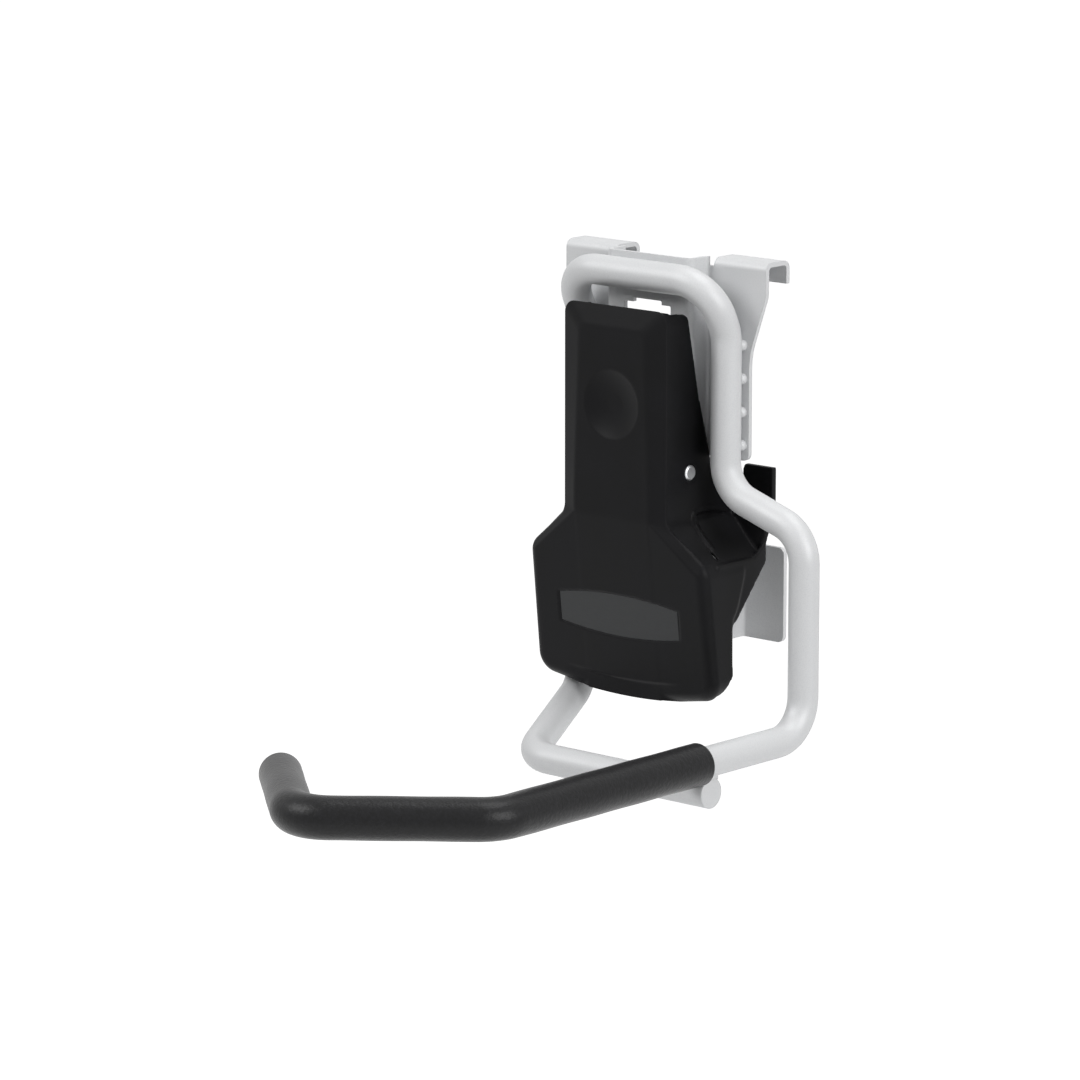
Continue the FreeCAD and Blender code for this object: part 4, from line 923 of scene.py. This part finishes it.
class HOOK_OT_stage(bpy.types.Operator):
    """Pale floor, soft lamps, and the camera at the photograph's angle"""
    bl_idname = "hook.stage"
    bl_label = "Studio"

    def execute(self, context):
        scene = context.scene
        colours = scene.hook_colours
        scene.view_settings.view_transform = "Standard"

        # Floor 1.2 m below the hook, as under a rail on a garage wall
        half, level = 30.0, -1.2
        signs = ((-1, -1), (1, -1), (1, 1), (-1, 1))
        corners = np.array([(x * half, y * half, level) for x, y in signs])
        material, tree, place = new_material("studio floor, painted")
        speckle = add_node(tree, "ShaderNodeTexNoise", Vector=place, Scale=6.0, Detail=2.0)
        pale = linear(colours.floor)
        darker = (*(part * 0.985 for part in pale[:3]), 1.0)
        tone = two_tone(tree, speckle.outputs["Fac"], pale, darker)
        paint = add_node(tree, "ShaderNodeBsdfDiffuse", Color=tone)
        glow = add_node(tree, "ShaderNodeEmission", Strength=0.9)
        dark = add_node(tree, "ShaderNodeEmission", Strength=0.0)
        seen = add_node(tree, "ShaderNodeMixShader", Fac=camera_rays(tree), i1=dark.outputs[0],
                        i2=glow.outputs[0])
        both = add_node(tree, "ShaderNodeAddShader", i0=paint.outputs[0], i1=seen.outputs[0])
        add_node(tree, "ShaderNodeOutputMaterial", Surface=both.outputs[0])
        floor = new_piece("studio_floor", corners, [(0, 1, 2, 3)], material)

        world = bpy.data.worlds.new("studio world")
        scene.world = world
        world.use_nodes = True
        tree = world.node_tree
        tree.nodes.clear()
        room = add_node(tree, "ShaderNodeBackground", Color=(1, 1, 1, 1), Strength=0.17)
        backdrop = add_node(tree, "ShaderNodeBackground", Color=(1, 1, 1, 1), Strength=1.0)
        mixed = add_node(tree, "ShaderNodeMixShader", Fac=camera_rays(tree), i1=room.outputs[0],
                         i2=backdrop.outputs[0])
        add_node(tree, "ShaderNodeOutputWorld", Surface=mixed.outputs[0])

        # Softboxes: place, size in metres and power in watts. Each faces the middle of the hook
        middle = np.array((0.02, -0.1, -0.1))
        softboxes = {
            "front softbox": ((-1.1, -1.9, 1.5), 1.3, 36.0),
            "side softbox": ((2.5, -0.3, 0.9), 1.5, 42.0),
            "top softbox": ((0.4, 0.3, 2.2), 1.3, 22.0),
        }
        for name, (place, size, power) in softboxes.items():
            lamp = bpy.data.lights.new(name, "AREA")
            lamp.shape = "SQUARE"
            lamp.size = size
            lamp.energy = power
            item = bpy.data.objects.new(name, lamp)
            item.location = place
            direction = middle - np.array(place)
            item.rotation_euler = Matrix(look_rows(direction)).to_euler()
            scene.collection.objects.link(item)

        # Camera: 2.2 m away, 42 degrees round to the right and 11 degrees above, a long lens
        lens = bpy.data.cameras.new("photo camera")
        lens.sensor_width = 36.0
        lens.lens = 179.0
        lens.clip_end = 200.0
        camera = bpy.data.objects.new("photo camera", lens)
        yaw, pitch = math.radians(41.784), math.radians(11.409)
        turn = Matrix.Rotation(yaw, 4, "Z") @ Matrix.Rotation(math.pi / 2 - pitch, 4, "X")
        camera.matrix_world = Matrix.Translation((1.42296, -1.67152, 0.32297)) @ turn
        scene.collection.objects.link(camera)
        scene.camera = camera
        return {"FINISHED"}


def look_rows(direction):
    """Rows of the turn that points a lamp's -Z along a direction, its X kept level."""
    back = -unit(np.asarray(direction, float))
    right = unit(np.cross((0.0, 0.0, 1.0), back))
    up = np.cross(back, right)
    return np.stack([right, up, back], -1).tolist()


class HOOK_PT_panel(bpy.types.Panel):
    """Lists the hook's pieces in the 3D view's sidebar"""
    bl_idname = "HOOK_PT_panel"
    bl_label = "Bicycle storage hook"
    bl_space_type = "VIEW_3D"
    bl_region_type = "UI"
    bl_category = "Hook"

    def draw(self, context):
        for operator in OPERATORS:
            self.layout.operator(operator.bl_idname)
        for group in GROUPS:
            self.layout.label(text=group)
            settings = getattr(context.scene, group)
            for name in settings.bl_rna.properties.keys():
                if name not in ("rna_type", "name"):
                    self.layout.prop(settings, name)


OPERATORS = (HOOK_OT_metalwork, HOOK_OT_spring, HOOK_OT_rod, HOOK_OT_sleeve, HOOK_OT_lever, HOOK_OT_face,
             HOOK_OT_inlay, HOOK_OT_stage)
GROUPS = {
    "hook_rod": HookRodSizes,
    "hook_sleeve": HookSleeveSizes,
    "hook_face": HookFaceSizes,
    "hook_colours": HookColours,
}


def register():
    for group, kind in GROUPS.items():
        bpy.utils.register_class(kind)
        setattr(bpy.types.Scene, group, bpy.props.PointerProperty(type=kind))
    for kind in OPERATORS + (HOOK_PT_panel,):
        bpy.utils.register_class(kind)


def unregister():
    for kind in (HOOK_PT_panel,) + OPERATORS[::-1]:
        bpy.utils.unregister_class(kind)
    for group, kind in GROUPS.items():
        delattr(bpy.types.Scene, group)
        bpy.utils.unregister_class(kind)


def main():
    """Dresses the hook."""
    register()
    bpy.ops.hook.metalwork()
    bpy.ops.hook.spring()
    bpy.ops.hook.rod()
    bpy.ops.hook.sleeve()
    bpy.ops.hook.lever()
    bpy.ops.hook.face()
    bpy.ops.hook.inlay()
    bpy.ops.hook.stage()


if __name__ == "__main__":
    main()
